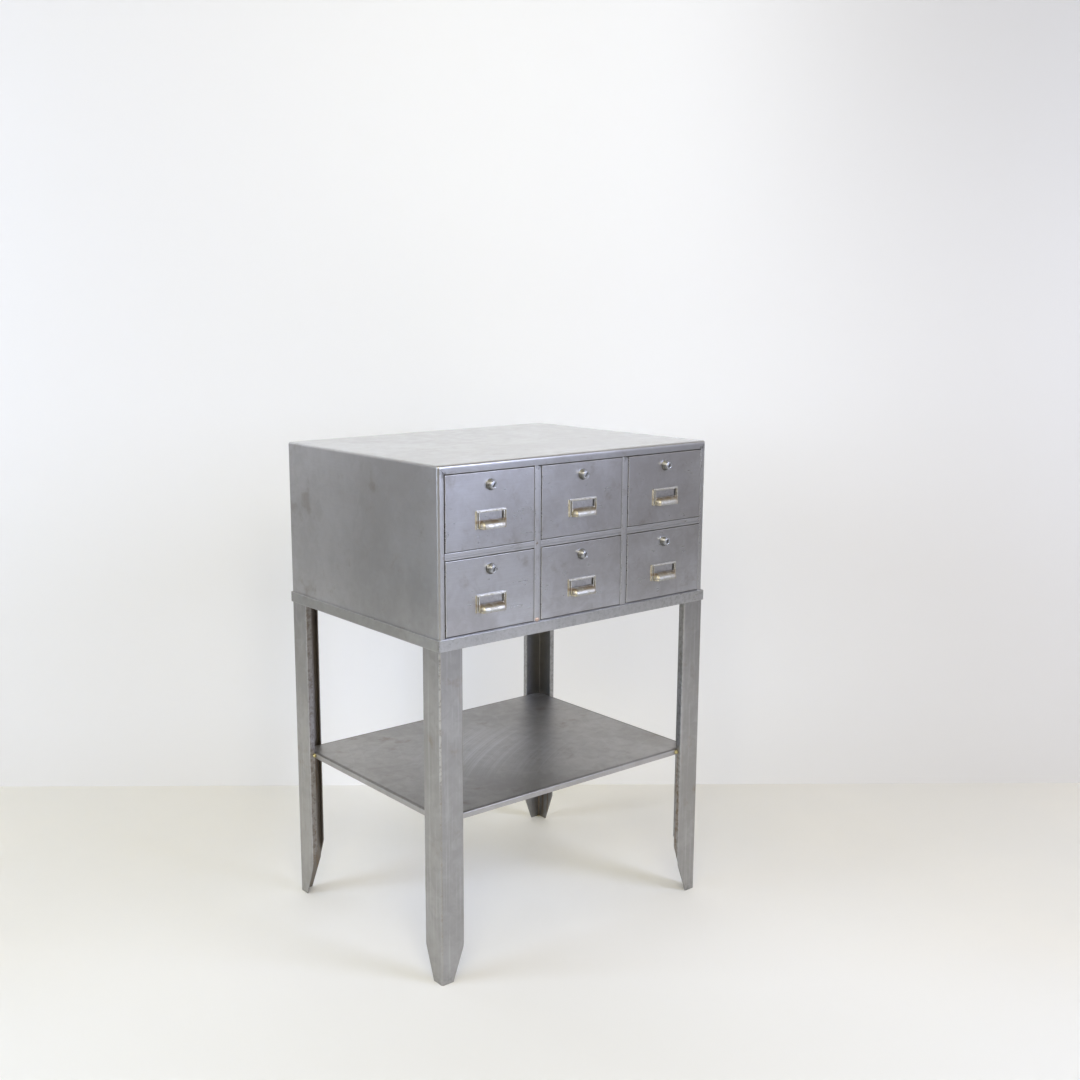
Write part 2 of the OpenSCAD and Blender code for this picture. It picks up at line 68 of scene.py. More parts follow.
class Form:
    """A shape in the making: a bmesh and the few operators that these pieces need."""

    # The way along which the mesh's parts are counted; askew, so that hardly two lie level.
    order = (0.61, 0.53, 0.59)

    def __init__(self) -> None:
        """Starts with nothing in it."""
        self.bm = bmesh.new()

    def box(self, low: Point, high: Point) -> None:
        """Adds a block.

        Args:
            low: Its lowest corner.
            high: Its highest corner.
        """
        size = Vector(high) - Vector(low)
        middle = (Vector(high) + Vector(low)) / 2
        matrix = Matrix.Translation(middle) @ Matrix.Diagonal((*size, 1))
        bmesh.ops.create_cube(self.bm, size=1, matrix=matrix)

    def settle(self) -> None:
        """Puts the mesh's parts in an order that every run repeats."""
        way = Vector(self.order)
        self.bm.verts.sort(key=lambda v: v.co.dot(way))
        self.bm.edges.sort(key=lambda e: (e.verts[0].co + e.verts[1].co).dot(way))
        self.bm.faces.sort(key=lambda f: f.calc_center_median().dot(way))

    def chain(self, points: Iterable[Point], closed: bool = False) -> list[bmesh.types.BMEdge]:
        """Joins points by edges.

        Args:
            points: The points in order.
            closed: Whether the last point is joined to the first.

        Returns:
            The edges.
        """
        verts = [self.bm.verts.new(p) for p in points]
        following = verts[1:] + (verts[:1] if closed else [])
        return [self.bm.edges.new(pair) for pair in zip(verts, following)]

    def sweep(self, edges: Sequence[bmesh.types.BMEdge], step: Point) -> None:
        """Draws edges out into faces.

        Args:
            edges: The edges to draw out.
            step: How far and which way.
        """
        made = bmesh.ops.extrude_edge_only(self.bm, edges=list(edges))
        verts = [g for g in made["geom"] if isinstance(g, bmesh.types.BMVert)]
        bmesh.ops.translate(self.bm, verts=verts, vec=Vector(step))
        self.settle()

    def turn(self, profile: Sequence[tuple[float, float]], centre: Point, steps: int = 40,
             closed: bool = False) -> None:
        """Turns a profile round an axis that runs along Y.

        Args:
            profile: Pairs of radius and distance along Y.
            centre: A point of the axis, from which the profile is measured.
            steps: Number of faces round the turn.
            closed: Whether the profile is a closed ring.
        """
        x, y, z = centre
        edges = self.chain([(x + r, y + along, z) for r, along in profile], closed)
        geom = edges + parts_of(edges, "verts")
        bmesh.ops.spin(self.bm, geom=geom, cent=centre, axis=(0, 1, 0), dvec=(0, 0, 0),
                       angle=2 * math.pi, steps=steps, use_merge=True, use_duplicate=False)
        self.weld()

    def edges(self, test: Test) -> list[bmesh.types.BMEdge]:
        """Finds edges.

        Args:
            test: Says yes or no to an edge's middle and direction.

        Returns:
            The edges that it says yes to.
        """
        found = []
        for edge in self.bm.edges:
            a, b = (v.co for v in edge.verts)
            if test((a + b) / 2, (b - a).normalized()):
                found.append(edge)
        return found

    def faces(self, test: Test) -> list[bmesh.types.BMFace]:
        """Finds faces.

        Args:
            test: Says yes or no to a face's middle and normal.

        Returns:
            The faces that it says yes to.
        """
        self.bm.normal_update()
        return [f for f in self.bm.faces if test(f.calc_center_median(), f.normal)]

    def drop(self, test: Test) -> None:
        """Takes away the faces that a test says yes to."""
        bmesh.ops.delete(self.bm, geom=self.faces(test), context="FACES")

    def bend(self, edges: Sequence[bmesh.types.BMEdge], radius: float, steps: int = 4) -> None:
        """Rounds edges.

        Args:
            edges: The edges to round.
            radius: The radius of the round.
            steps: Number of faces across it.
        """
        bmesh.ops.bevel(self.bm, geom=list(edges), offset=radius, offset_type="OFFSET",
                        segments=steps, profile=0.5, affect="EDGES", material=-1,
                        clamp_overlap=True)

    def cut(self, point: Point, normal: Point, faces: Union[list, None] = None,
            clear: bool = True) -> None:
        """Cuts along a plane.

        Args:
            point: A point of the plane.
            normal: The plane's normal, which points to the side that is cleared.
            faces: The faces to cut, or None for all.
            clear: Whether that side is taken away.
        """
        found = list(self.bm.faces) if faces is None else faces
        geom = [*found, *parts_of(found, "edges"), *parts_of(found, "verts")]
        bmesh.ops.bisect_plane(self.bm, geom=geom, dist=1e-7, plane_co=Vector(point),
                               plane_no=Vector(normal), clear_outer=clear)

    def cap(self) -> None:
        """Closes the holes that cuts have left."""
        open_edges = [e for e in self.bm.edges if e.is_boundary]
        bmesh.ops.holes_fill(self.bm, edges=open_edges, sides=0)

    def weld(self, reach: float = HAIR) -> None:
        """Merges points that lie within reach of each other."""
        bmesh.ops.remove_doubles(self.bm, verts=self.bm.verts[:], dist=reach)

    def face_out(self, inside: Point) -> None:
        """Turns all faces away from a point inside the shape."""
        bmesh.ops.recalc_face_normals(self.bm, faces=self.bm.faces[:])
        middle = Vector(inside)
        lean = sum(f.calc_area() * f.normal.dot(f.calc_center_median() - middle)
                   for f in self.bm.faces)
        if lean < 0:
            bmesh.ops.reverse_faces(self.bm, faces=self.bm.faces[:])

    def thicken(self, depth: float) -> None:
        """Gives the sheet its thickness, inwards from the side that it faces."""
        self.bm.normal_update()
        bmesh.ops.solidify(self.bm, geom=self.bm.faces[:], thickness=depth)

    def soften(self, width: float = 0.3 * MM, steps: int = 2, over: float = 0.7) -> None:
        """Breaks the sharp edges.

        Args:
            width: Width of the broken edge.
            steps: Number of faces across it.
            over: Angle in radians over which an edge counts as sharp.
        """
        self.settle()
        self.bm.normal_update()
        sharp = [e for e in self.bm.edges
                 if len(e.link_faces) == 2 and e.calc_face_angle(0.0) > over]
        self.bend(sharp, width, steps)

    def make_sheet(self, inside: Point, depth: float, edge: float = 0.25 * MM,
                   steps: int = 2) -> None:
        """Turns a bare surface into sheet with broken edges.

        Args:
            inside: A point on the side that the sheet grows towards.
            depth: The sheet's thickness.
            edge: Width of its broken edges.
            steps: Number of faces across them.
        """
        self.face_out(inside)
        self.thicken(depth)
        self.soften(edge, steps)

    def absorb(self, other: "Form") -> None:
        """Takes in another form's mesh as it is."""
        mesh = bpy.data.meshes.new("absorbed")
        other.bm.to_mesh(mesh)
        other.bm.free()
        self.bm.from_mesh(mesh)
        bpy.data.meshes.remove(mesh)

    def shift(self, matrix: Matrix) -> None:
        """Moves or turns the whole form by a matrix."""
        bmesh.ops.transform(self.bm, matrix=matrix, verts=self.bm.verts[:])

    def ripple(self, test: Test, across: Point, low: Point, high: Point, depth: float,
               scale: float, cuts: int) -> None:
        """Makes a flat sheet as uneven as pressed sheet is, calm towards its edges.

        Args:
            test: Says yes to the faces of the sheet, by middle and normal.
            across: The way that the sheet dips.
            low: Lowest corner of the sheet.
            high: Highest corner of the sheet.
            depth: The deepest dip.
            scale: Waves per metre.
            cuts: Number of strips that each side is cut into.
        """
        low, high, dip = Vector(low), Vector(high), Vector(across)
        spans = [axis for axis in range(3) if abs(dip[axis]) < 0.5]
        for axis in spans:
            normal = Vector([float(a == axis) for a in range(3)])
            for i in range(1, cuts):
                self.cut(low.lerp(high, i / cuts), normal, self.faces(test), clear=False)
        for vert in parts_of(self.faces(test), "verts"):
            calm = 1.0
            for axis in spans:
                share = (vert.co[axis] - low[axis]) / (high[axis] - low[axis])
                calm *= math.sin(math.pi * min(max(share, 0.0), 1.0)) ** 0.5
            wave = 0.5 + 0.5 * noise.noise(vert.co * scale)
            vert.co += dip * (depth * calm * wave)

    def piece(self, name: str, body: str, slot: str, paint: bpy.types.Material,
              nodes: Sequence[str] = ()) -> None:
        """Makes the form a finished piece of the object.

        Args:
            name: The piece's name.
            body: The CAD body that it moves with.
            slot: The record's material slot; not used.
            paint: Its material.
            nodes: The CAD nodes that it stands for.
        """
        mesh = bpy.data.meshes.new(name)
        self.bm.normal_update()
        self.bm.to_mesh(mesh)
        self.bm.free()
        mesh.shade_smooth()
        mesh.materials.append(paint)
        made = bpy.data.objects.new(name, mesh)
        bpy.context.scene.collection.objects.link(made)
        even = made.modifiers.new("Even normals", "WEIGHTED_NORMAL")
        even.keep_sharp = True
        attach(made, body)
        if nodes:
            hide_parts(*nodes)
        LOG.info("%s: %d faces, on %s", name, len(mesh.polygons), body)


# ---- Finishes ----


class Wire:
    """An output in a material's node tree; Python's operators on it add Math nodes."""

    def __init__(self, tree: "Tree", socket: bpy.types.NodeSocket) -> None:
        """Wraps a socket of a tree."""
        self.tree = tree
        self.socket = socket

    def maths(self, operation: str, *values: Any) -> "Wire":
        """Adds a Math node.

        Args:
            operation: What it works out.
            values: Its values, wires or numbers.

        Returns:
            Its result.
        """
        return self.tree.node("ShaderNodeMath", {"operation": operation},
                              dict(enumerate(values)))

    def __add__(self, other: "Amount") -> "Wire":
        """This plus another."""
        return self.maths("ADD", self, other)

    __radd__ = __add__

    def __mul__(self, other: "Amount") -> "Wire":
        """This times another."""
        return self.maths("MULTIPLY", self, other)

    __rmul__ = __mul__

    def __sub__(self, other: "Amount") -> "Wire":
        """This less another."""
        return self.maths("SUBTRACT", self, other)

    def __rsub__(self, other: "Amount") -> "Wire":
        """Another less this."""
        return self.maths("SUBTRACT", other, self)

    def __truediv__(self, other: "Amount") -> "Wire":
        """This over another."""
        return self.maths("DIVIDE", self, other)

    def __abs__(self) -> "Wire":
        """This without its sign."""
        return self.maths("ABSOLUTE", self)

    def between(self, start: float, end: float) -> "Wire":
        """Rises smoothly from 0 at start to 1 at end; start may be the greater.

        Args:
            start: The value that gives 0.
            end: The value that gives 1.

        Returns:
            The share, from 0 to 1.
        """
        return self.tree.node("ShaderNodeMapRange", {"interpolation_type": "SMOOTHSTEP"},
                              {0: self, 1: start, 2: end, 3: 0.0, 4: 1.0})

    def near(self, at: float, reach: float) -> "Wire":
        """1 where this equals a value, falling to 0 at reach from it."""
        return abs(self - at).between(reach, 0.0)

    def or_(self, other: "Wire") -> "Wire":
        """The greater of two wires."""
        return self.maths("MAXIMUM", self, other)

    def fract(self) -> "Wire":
        """What is left of this over a whole number."""
        return self.maths("FRACT", self)


Amount = Union[Wire, float, int]


class Tree:
    """One material and the writing of its nodes."""

    def __init__(self, name: str) -> None:
        """Starts a material that has only its shader and output."""
        self.paint = bpy.data.materials.new(name)
        self.paint.use_nodes = True
        self.tree = self.paint.node_tree
        self.shader = self.tree.nodes["Principled BSDF"]
        self.place = self.node("ShaderNodeTexCoord", output="Object")

    def node(self, kind: str, settings: Union[dict, None] = None,
             inputs: Union[dict, None] = None, output: Union[int, str] = 0) -> Wire:
        """Adds any node.

        Args:
            kind: The node's type.
            settings: Its own settings, set first.
            inputs: Values or wires for its sockets, by name or number.
            output: The output that is handed on.

        Returns:
            That output.
        """
        made = self.tree.nodes.new(kind)
        for name, value in (settings or {}).items():
            setattr(made, name, value)
        for key, value in (inputs or {}).items():
            if isinstance(value, Wire):
                self.tree.links.new(value.socket, made.inputs[key])
            else:
                made.inputs[key].default_value = value
        return Wire(self, made.outputs[output])

    def axes(self) -> tuple[Wire, Wire, Wire]:
        """The place on the object along X, Y and Z."""
        return tuple(self.node("ShaderNodeSeparateXYZ", None, {0: self.place}, i)
                     for i in range(3))

    def away(self, point: Point) -> Wire:
        """Distance from a point."""
        return self.node("ShaderNodeVectorMath", {"operation": "DISTANCE"},
                         {0: self.place, 1: Vector(point)}, "Value")

    def cloud(self, scale: float, detail: float = 3.0, rough: float = 0.5,
              stretch: Point = (1, 1, 1), at: Point = (0, 0, 0), twist: float = 0.0) -> Wire:
        """Noise on the object's own place.

        Args:
            scale: Lumps per metre, roughly.
            detail: Octaves of finer lumps.
            rough: Strength of the finer lumps.
            stretch: Factors on the place along X, Y and Z; a small one draws lumps out.
            at: Shift of the pattern.
            twist: Distortion of the lumps.

        Returns:
            A value round 0.5.
        """
        place = self.node("ShaderNodeMapping", {"vector_type": "POINT"},
                          {"Vector": self.place, "Location": at, "Scale": stretch})
        return self.node("ShaderNodeTexNoise", {"noise_dimensions": "3D"},
                         {"Vector": place, "Scale": scale, "Detail": detail,
                          "Roughness": rough, "Distortion": twist})

    def blend(self, share: Amount, first: Any, second: Any, way: str = "MIX") -> Wire:
        """Mixes two colours.

        Args:
            share: How much of the second.
            first: A colour or wire.
            second: A colour or wire.
            way: The kind of mix.

        Returns:
            The colour.
        """
        colours = [c if isinstance(c, Wire) else (*c, 1.0) for c in (first, second)]
        return self.node("ShaderNodeMix", {"data_type": "RGBA", "blend_type": way},
                         {0: share, 6: colours[0], 7: colours[1]}, 2)

    def bump(self, height: Wire, depth: float, strength: float = 1.0) -> None:
        """Lets a height shape the shader's normal.

        Args:
            height: The height, from 0 to 1.
            depth: What a height of 1 measures.
            strength: Strength of the node.
        """
        raised = self.node("ShaderNodeBump", None,
                           {"Height": height, "Distance": depth, "Strength": strength})
        self.link("Normal", raised)

    def link(self, socket: str, value: Any) -> None:
        """Gives one of the shader's sockets a wire or a constant."""
        if isinstance(value, Wire):
            self.tree.links.new(value.socket, self.shader.inputs[socket])
        else:
            self.shader.inputs[socket].default_value = value


@dataclass
class Marks:
    """What use has left on a finish, and the painted highlights and painted shade carried with it,
    each from 0 to 1 over the surface.
    """

    wear_and_highlight: Union[Wire, None] = None
    grime_and_shade: Union[Wire, None] = None
    rusty: Union[Wire, None] = None
    scratched: Union[Wire, None] = None
    bare: Union[Wire, None] = None


class Grain(Enum):
    """The way that the grinding runs, as factors on X, Y and Z."""

    LEVEL = (0.02, 0.02, 1.0)
    UPRIGHT = (1.0, 1.0, 0.02)
    NONE = (1.0, 1.0, 1.0)


@dataclass(frozen=True)
class Steel:
    """Bare steel sheet, ground, rubbed and lacquered thinly."""

    name: str
    tone: Colour
    shade: Colour
    rust: Colour = (0.17, 0.115, 0.06)
    bright: Colour = (0.62, 0.62, 0.64)
    # Colour of dirt, and of painted shade.
    dirt_and_shade_colour: Colour = (0.10, 0.095, 0.085)
    gloss: float = 0.30
    uneven: float = 0.12
    coat: float = 1.0
    grain: Grain = Grain.LEVEL
    grain_depth: float = 0.02 * MM
    wave_depth: float = 1.0 * MM

    def paint(self, marks: Union[Callable[[Tree], Marks], None] = None) -> bpy.types.Material:
        """Writes the material.

        Args:
            marks: Works out where use has left its marks.

        Returns:
            The material.
        """
        tree = Tree(self.name)
        left = marks(tree) if marks else Marks()
        broad = tree.cloud(5.5, 3, 0.55)
        blotch = tree.cloud(38, 4, 0.6, at=(3.1, 1.7, 0.4), twist=0.6)
        fine = tree.cloud(420, 2, 0.6, stretch=self.grain.value)
        hair = tree.cloud(1900, 1, 0.5, stretch=self.grain.value, at=(0.7, 0, 0.3))
        mottle = (broad * 0.6 + blotch * 0.4).between(0.36, 0.62)
        colour = tree.blend(mottle, self.tone, self.shade)
        streaks = fine.between(0.3, 0.75) * 0.22
        colour = tree.blend(streaks, colour, self.shade)
        tint = tree.cloud(16, 5, 0.65, at=(9, 2, 5)).between(0.57, 0.74)
        colour = tree.blend(tint * 0.35, colour, self.rust)
        rough = self.gloss + (blotch - 0.5) * self.uneven + (fine - 0.5) * (self.uneven * 0.6)
        # Dirt, and painted shade where the marks put it.
        if left.grime_and_shade:
            colour = tree.blend(left.grime_and_shade * 0.8, colour, self.dirt_and_shade_colour)
            rough = rough + left.grime_and_shade * 0.12
        if left.rusty:
            colour = tree.blend(left.rusty * 0.85, colour, self.rust)
            rough = rough + left.rusty * 0.2
        if left.scratched:
            colour = tree.blend(left.scratched * 0.5, colour, self.bright)
            rough = rough + left.scratched * 0.1
        # Wear, and painted highlights where the marks put it.
        if left.wear_and_highlight:
            colour = tree.blend(left.wear_and_highlight * 0.75, colour, self.bright)
            rough = rough - left.wear_and_highlight * 0.06
        tree.link("Base Color", colour)
        tree.link("Metallic", 1.0)
        tree.link("Roughness", rough)
        tree.link("Coat Weight", (1 - left.bare) * self.coat if left.bare else self.coat)
        tree.link("Coat Roughness", 0.22)
        wave = tree.cloud(7, 1, 0.4, at=(0.2, 0.5, 0.9))
        height = wave + (fine * 0.6 + hair * 0.4) * (self.grain_depth / self.wave_depth)
        tree.bump(height, self.wave_depth)
        return tree.paint


@dataclass(frozen=True)
class Plate:
    """Worn plated metal of the small hardware."""

    name: str
    tone: Colour
    worn: Colour
    gloss: float = 0.24
    stain: Colour = (0.20, 0.17, 0.12)

    def paint(self, tarnish_and_painted_light: Union[Callable[[Tree], Wire], None] = None) -> bpy.types.Material:
        """Writes the material.

        Args:
            tarnish_and_painted_light: Works out where the plating has turned dull, and where shade
                and a reflection are painted on it.

        Returns:
            The material.
        """
        tree = Tree(self.name)
        patch = tree.cloud(130, 4, 0.6, twist=0.4).between(0.42, 0.66)
        speck = tree.cloud(900, 2, 0.6).between(0.6, 0.75)
        colour = tree.blend(patch * 0.7, self.tone, self.worn)
        colour = tree.blend(speck * 0.35, colour, self.stain)
        rough = self.gloss + patch * 0.14 + speck * 0.1
        # Dull plating; on the pulls and locks also painted shade and a painted brown reflection.
        if tarnish_and_painted_light:
            tarnish_and_painted = tarnish_and_painted_light(tree)
            colour = tree.blend(tarnish_and_painted, colour, self.stain)
            rough = rough + tarnish_and_painted * 0.15
        tree.link("Base Color", colour)
        tree.link("Metallic", 1.0)
        tree.link("Roughness", rough)
        tree.bump(tree.cloud(700, 2, 0.5), 0.03 * MM, 0.6)
        return tree.paint


# ---- Layout that several parts share ----


@dataclass(frozen=True)
class Layout:
    """Where the parts meet."""

    columns: int = 3
    front: float = -258.45 * MM
    back: float = 271.55 * MM
    face: float = -259.45 * MM
    pitch_x: float = 227 * MM
    pitch_z: float = 157 * MM
    top_row: float = 841.5 * MM
    head: float = 983 * MM
    sill: float = 683 * MM
    leg_top: float = 659 * MM
    leg_x: float = 347.4 * MM
    leg_y: float = 266.4 * MM
    drawer_w: float = 208 * MM
    drawer_h: float = 140 * MM

    @property
    def middle(self) -> float:
        """Middle of the casing along Y."""
        return (self.front + self.back) / 2

    def drawer(self, number: int) -> Vector:
        """Lower middle of a drawer's face.

        Args:
            number: The drawer, from 1 to 6.

        Returns:
            The point.
        """
        column, row = (number - 1) % self.columns, (number - 1) // self.columns
        return Vector(((column - 1) * self.pitch_x, self.face,
                       self.top_row - row * self.pitch_z))


LAY = Layout()


def drawer_axes(tree: Tree) -> tuple[Wire, Wire, Wire]:
    """The place on a drawer: from its middle along X, its face along Y and its foot along Z."""
    x, y, z = tree.axes()
    slack = 2 * MM
    across = ((x / LAY.pitch_x + 1.5).fract() - 0.5) * LAY.pitch_x
    up = ((z - LAY.top_row + slack) / LAY.pitch_z + 1).fract() * LAY.pitch_z - slack
    return across, y - LAY.face, up


# ---- Casing ----


@dataclass
class Casing:
    """The wrapper round the drawers, its posts and rails, and the plain parts inside."""

    half: float = 346 * MM
    foot: float = 661.5 * MM
    top: float = 1000 * MM
    sheet: float = 1.2 * MM
    fold_r: float = 5 * MM
    open_half: float = 332.5 * MM
    fold: float = 12 * MM
    lip_r: float = 1.2 * MM
    post_w: float = 16 * MM
    rail_h: float = 14 * MM
    bay_w: float = 211 * MM
    bay_h: float = 143 * MM
    slot_w: float = 0.9 * MM
    slot_share: float = 0.6
    head_slant: float = 0.42
    finish: Steel = field(default_factory=lambda: Steel(
        "casing_steel", (0.56, 0.56, 0.575), (0.46, 0.455, 0.46), gloss=0.33))

    @property
    def rail_z(self) -> float:
        """Middle of the rails between the two rows."""
        return LAY.head - self.bay_h - self.rail_h / 2

    def marks(self, tree: Tree) -> Marks:
        """Where the casing is worn, dirty and stained, with painted highlights along its folds, posts
        and rails, and painted shade on its head band, side panels and post flanks.
        """
        x, y, z = tree.axes()
        ragged = tree.cloud(160, 3, 0.6)
        front = y.between(LAY.front + 3 * MM, LAY.front)
        # The folds of lid and sides and the front corners: worn, with a painted highlight along them.
        edges = abs(x).near(self.half, 3.5 * MM) * z.near(self.top, 3.5 * MM)
        corner = abs(x).near(self.half, 4 * MM) * y.near(LAY.front, 4 * MM)
        lid_fold = z.between(self.top - 8 * MM, self.top - 4.5 * MM) * y.between(
            LAY.front + 9 * MM, LAY.front + 5 * MM)
        rails = z.near(self.rail_z, 9 * MM)
        joint = abs(x).near(LAY.pitch_x / 2, 9 * MM).or_(abs(x).near(self.open_half, 6 * MM))
        # The head band over the opening: painted shade.
        head = z.between(LAY.head, LAY.head + 2 * MM) * front * (1 - lid_fold)
        # The side panels: painted shade over the whole side, with dirty smears in it.
        side_panel_shade = abs(x).between(self.half - 2 * MM, self.half - 0.5 * MM) * y.between(
            LAY.back, LAY.front + 60 * MM) * z.between(self.top - 40 * MM, self.foot + 90 * MM)
        smears = tree.cloud(9, 4, 0.6, stretch=(1, 1, 0.6), at=(5, 1, 2)).between(0.3, 0.6)
        foot = z.between(self.foot + 30 * MM, self.foot + 12 * MM) * ragged.between(0.35, 0.7)
        ridge_highlights, seam_lines_and_shade = self.bar_marks(x, y, z, front)
        return Marks(wear_and_highlight=(edges.or_(corner) * ragged.between(0.2, 0.6)).or_(ridge_highlights * 0.9),
                     rusty=front * rails * joint * ragged.between(0.45, 0.62), bare=lid_fold,
                     grime_and_shade=self.joint_grime(x, z, front, ragged).or_(foot * 0.35).or_(
                         head * 0.58).or_(seam_lines_and_shade).or_(side_panel_shade * (0.3 + smears * 0.28)) * 0.9)

    def joint_grime(self, x: Wire, z: Wire, front: Wire, ragged: Wire) -> Wire:
        """Grime in the opening's upper corners and at the posts' heads.

        Args:
            x: The place along X.
            z: The place along Z.
            front: 1 on the casing's front.
            ragged: Noise that frays the grime.

        Returns:
            The grime, from 0 to 1.
        """
        corners = abs(z - LAY.head).between(10 * MM, 3 * MM) * abs(
            abs(x) - self.open_half).between(9 * MM, 3 * MM) * front
        heads = z.near(LAY.head - 3 * MM, 11 * MM) * abs(x).near(LAY.pitch_x / 2, 14 * MM) * front
        return corners.or_(heads * ragged.between(0.35, 0.5) * 0.9)

    def bar_marks(self, x: Wire, y: Wire, z: Wire, front: Wire) -> tuple[Wire, Wire]:
        """Lines along the posts and rails: painted highlights, and dark seam lines with painted
        shade.

        Args:
            x: The place along X.
            y: The place along Y.
            z: The place along Z.
            front: 1 on the casing's front.

        Returns:
            The painted highlights, and the dark seam lines with painted shade, each from 0 to 1.
        """
        below_head = z.between(LAY.head + 1 * MM, LAY.head)
        off = ((x / LAY.pitch_x).fract() - 0.5) * LAY.pitch_x
        post = abs(off).between(self.post_w / 2 + 0.5 * MM, self.post_w / 2) * below_head * front
        rise = z - self.rail_z
        rail = abs(rise).between(self.rail_h / 2 + 0.5 * MM, self.rail_h / 2) * abs(x).between(
            self.open_half, self.open_half - 1 * MM) * front * (1 - post)
        # The posts' side walls inside the gaps: painted shade.
        flank_shade = abs(off).near(self.post_w / 2, 0.7 * MM) * y.between(
            LAY.front + 40 * MM, LAY.front + 20 * MM) * below_head
        # Dark lines on the posts and rails: seam lines, partly painted shade.
        seam_lines_and_shade = (post * off.between(-1 * MM, 7 * MM) * 0.4).or_(rail * (
            rise.near(-2.5 * MM, 2.5 * MM) * 0.5).or_(rise.between(4.5 * MM, 6.5 * MM) * 0.35))
        # Painted highlight bands on the posts and rails.
        ridge_highlights = (post * off.near(-5.5 * MM, 2.6 * MM)).or_(
            rail * rise.near(1.5 * MM, 2 * MM) * 0.7)
        return ridge_highlights, seam_lines_and_shade.or_(flank_shade)

    def wrapper(self) -> Form:
        """Top, sides and front faces, folded from one sheet.

        Returns:
            The form.
        """
        form = Form()
        form.box((-self.half, LAY.front, self.foot), (self.half, LAY.back, self.top))
        form.drop(lambda c, n: n.z < -0.5 or n.y > 0.5)
        form.bend(form.edges(lambda m, d: self._on_fold(m)), self.fold_r, 6)
        for side in (-1, 1):
            form.cut((side * self.open_half, 0, 0), (1, 0, 0), self._front(form), clear=False)
        form.cut((0, 0, LAY.head), (0, 0, 1), self._front(form), clear=False)
        form.drop(lambda c, n: n.y < -ALONG and abs(c.x) < self.open_half and c.z < LAY.head)
        rim = form.edges(lambda m, d: m.y < LAY.front + HAIR and self._on_rim(m))
        form.sweep(rim, (0, self.fold, 0))
        form.bend(form.edges(lambda m, d: m.y < LAY.front + HAIR and self._on_rim(m)),
                  self.lip_r, 3)
        for side in (-1, 1):
            self._mitre(form, side)
        low, high = (-self.half, LAY.front, self.foot), (self.half, LAY.back, self.top)
        for side in (-1, 1):
            form.ripple(lambda c, n: abs(c.x - side * self.half) < SKIN, (-side, 0, 0),
                        low, high, 1.2 * MM, 5.0, 12)
        form.ripple(lambda c, n: abs(c.z - self.top) < SKIN, (0, 0, -1), low, high,
                    1.5 * MM, 4.0, 12)
        form.make_sheet((0, LAY.middle, (self.foot + self.top) / 2), self.sheet)
        return form

    def _on_fold(self, m: Vector) -> bool:
        """Whether an edge's middle is on one of the wrapper's long folds."""
        side = abs(abs(m.x) - self.half) < TINY
        lid = abs(m.z - self.top) < TINY
        face = abs(m.y - LAY.front) < TINY
        return (side and lid) or (side and face) or (lid and face)

    def _on_rim(self, m: Vector) -> bool:
        """Whether an edge's middle is on the rim of the opening."""
        upright = abs(abs(m.x) - self.open_half) < TINY and m.z < LAY.head
        return upright or (abs(m.z - LAY.head) < TINY and abs(m.x) < self.open_half)

    def _front(self, form: Form) -> list[bmesh.types.BMFace]:
        """The flat faces at the front."""
        return form.faces(lambda c, n: abs(c.y - LAY.front) < TINY and n.y < -ALONG)

    def _mitre(self, form: Form, side: int) -> None:
        """Cuts the open wedge that runs from a corner of the opening along its mitre.

        Args:
            form: The wrapper.
            side: -1 for the left corner, 1 for the right.
        """
        start = Vector((side * self.open_half, LAY.front, LAY.head))
        whole = Vector((side * self.half, LAY.front, self.top)) - start
        end = start + whole * self.slot_share
        along = whole.normalized()
        cross = along.cross(Vector((0, 1, 0)))
        near = 14 * MM
        for way in (-1, 1):
            rim = (start + cross * way * self.slot_w - end).normalized()
            form.cut(end, rim.cross(Vector((0, 1, 0))),
                     form.faces(lambda c, n: (c - start).length < near
                                and c.y < LAY.front + 2 * MM), clear=False)
        reach = (end - start).length

        def in_slot(c: Vector, n: Vector) -> bool:
            """Whether a face lies in the wedge."""
            run, off = (c - start).dot(along), abs((c - start).dot(cross))
            return (-2 * MM < run < reach and c.y < LAY.front + 1 * MM
                    and off < self.slot_w * (1 - run / reach))

        form.drop(in_slot)

    def post(self, side: int) -> Form:
        """Upright between two columns.

        Args:
            side: -1 for the left post, 1 for the right.

        Returns:
            The form.
        """
        start = Vector((side * LAY.pitch_x / 2 - self.post_w / 2, LAY.front, LAY.sill))
        return self.channel(start, Vector((self.post_w, 0, 0)),
                            Vector((0, 0, LAY.head - LAY.sill)), open_head=True)

    def rails(self) -> Form:
        """The three lengths of rail between the two rows.

        Returns:
            The form.
        """
        whole = Form()
        for column in range(LAY.columns):
            start = Vector(((column - 1) * LAY.pitch_x - self.bay_w / 2, LAY.front,
                            self.rail_z - self.rail_h / 2))
            whole.absorb(self.channel(start, Vector((0, 0, self.rail_h)),
                                      Vector((self.bay_w, 0, 0)), edge=0.2 * MM))
        return whole

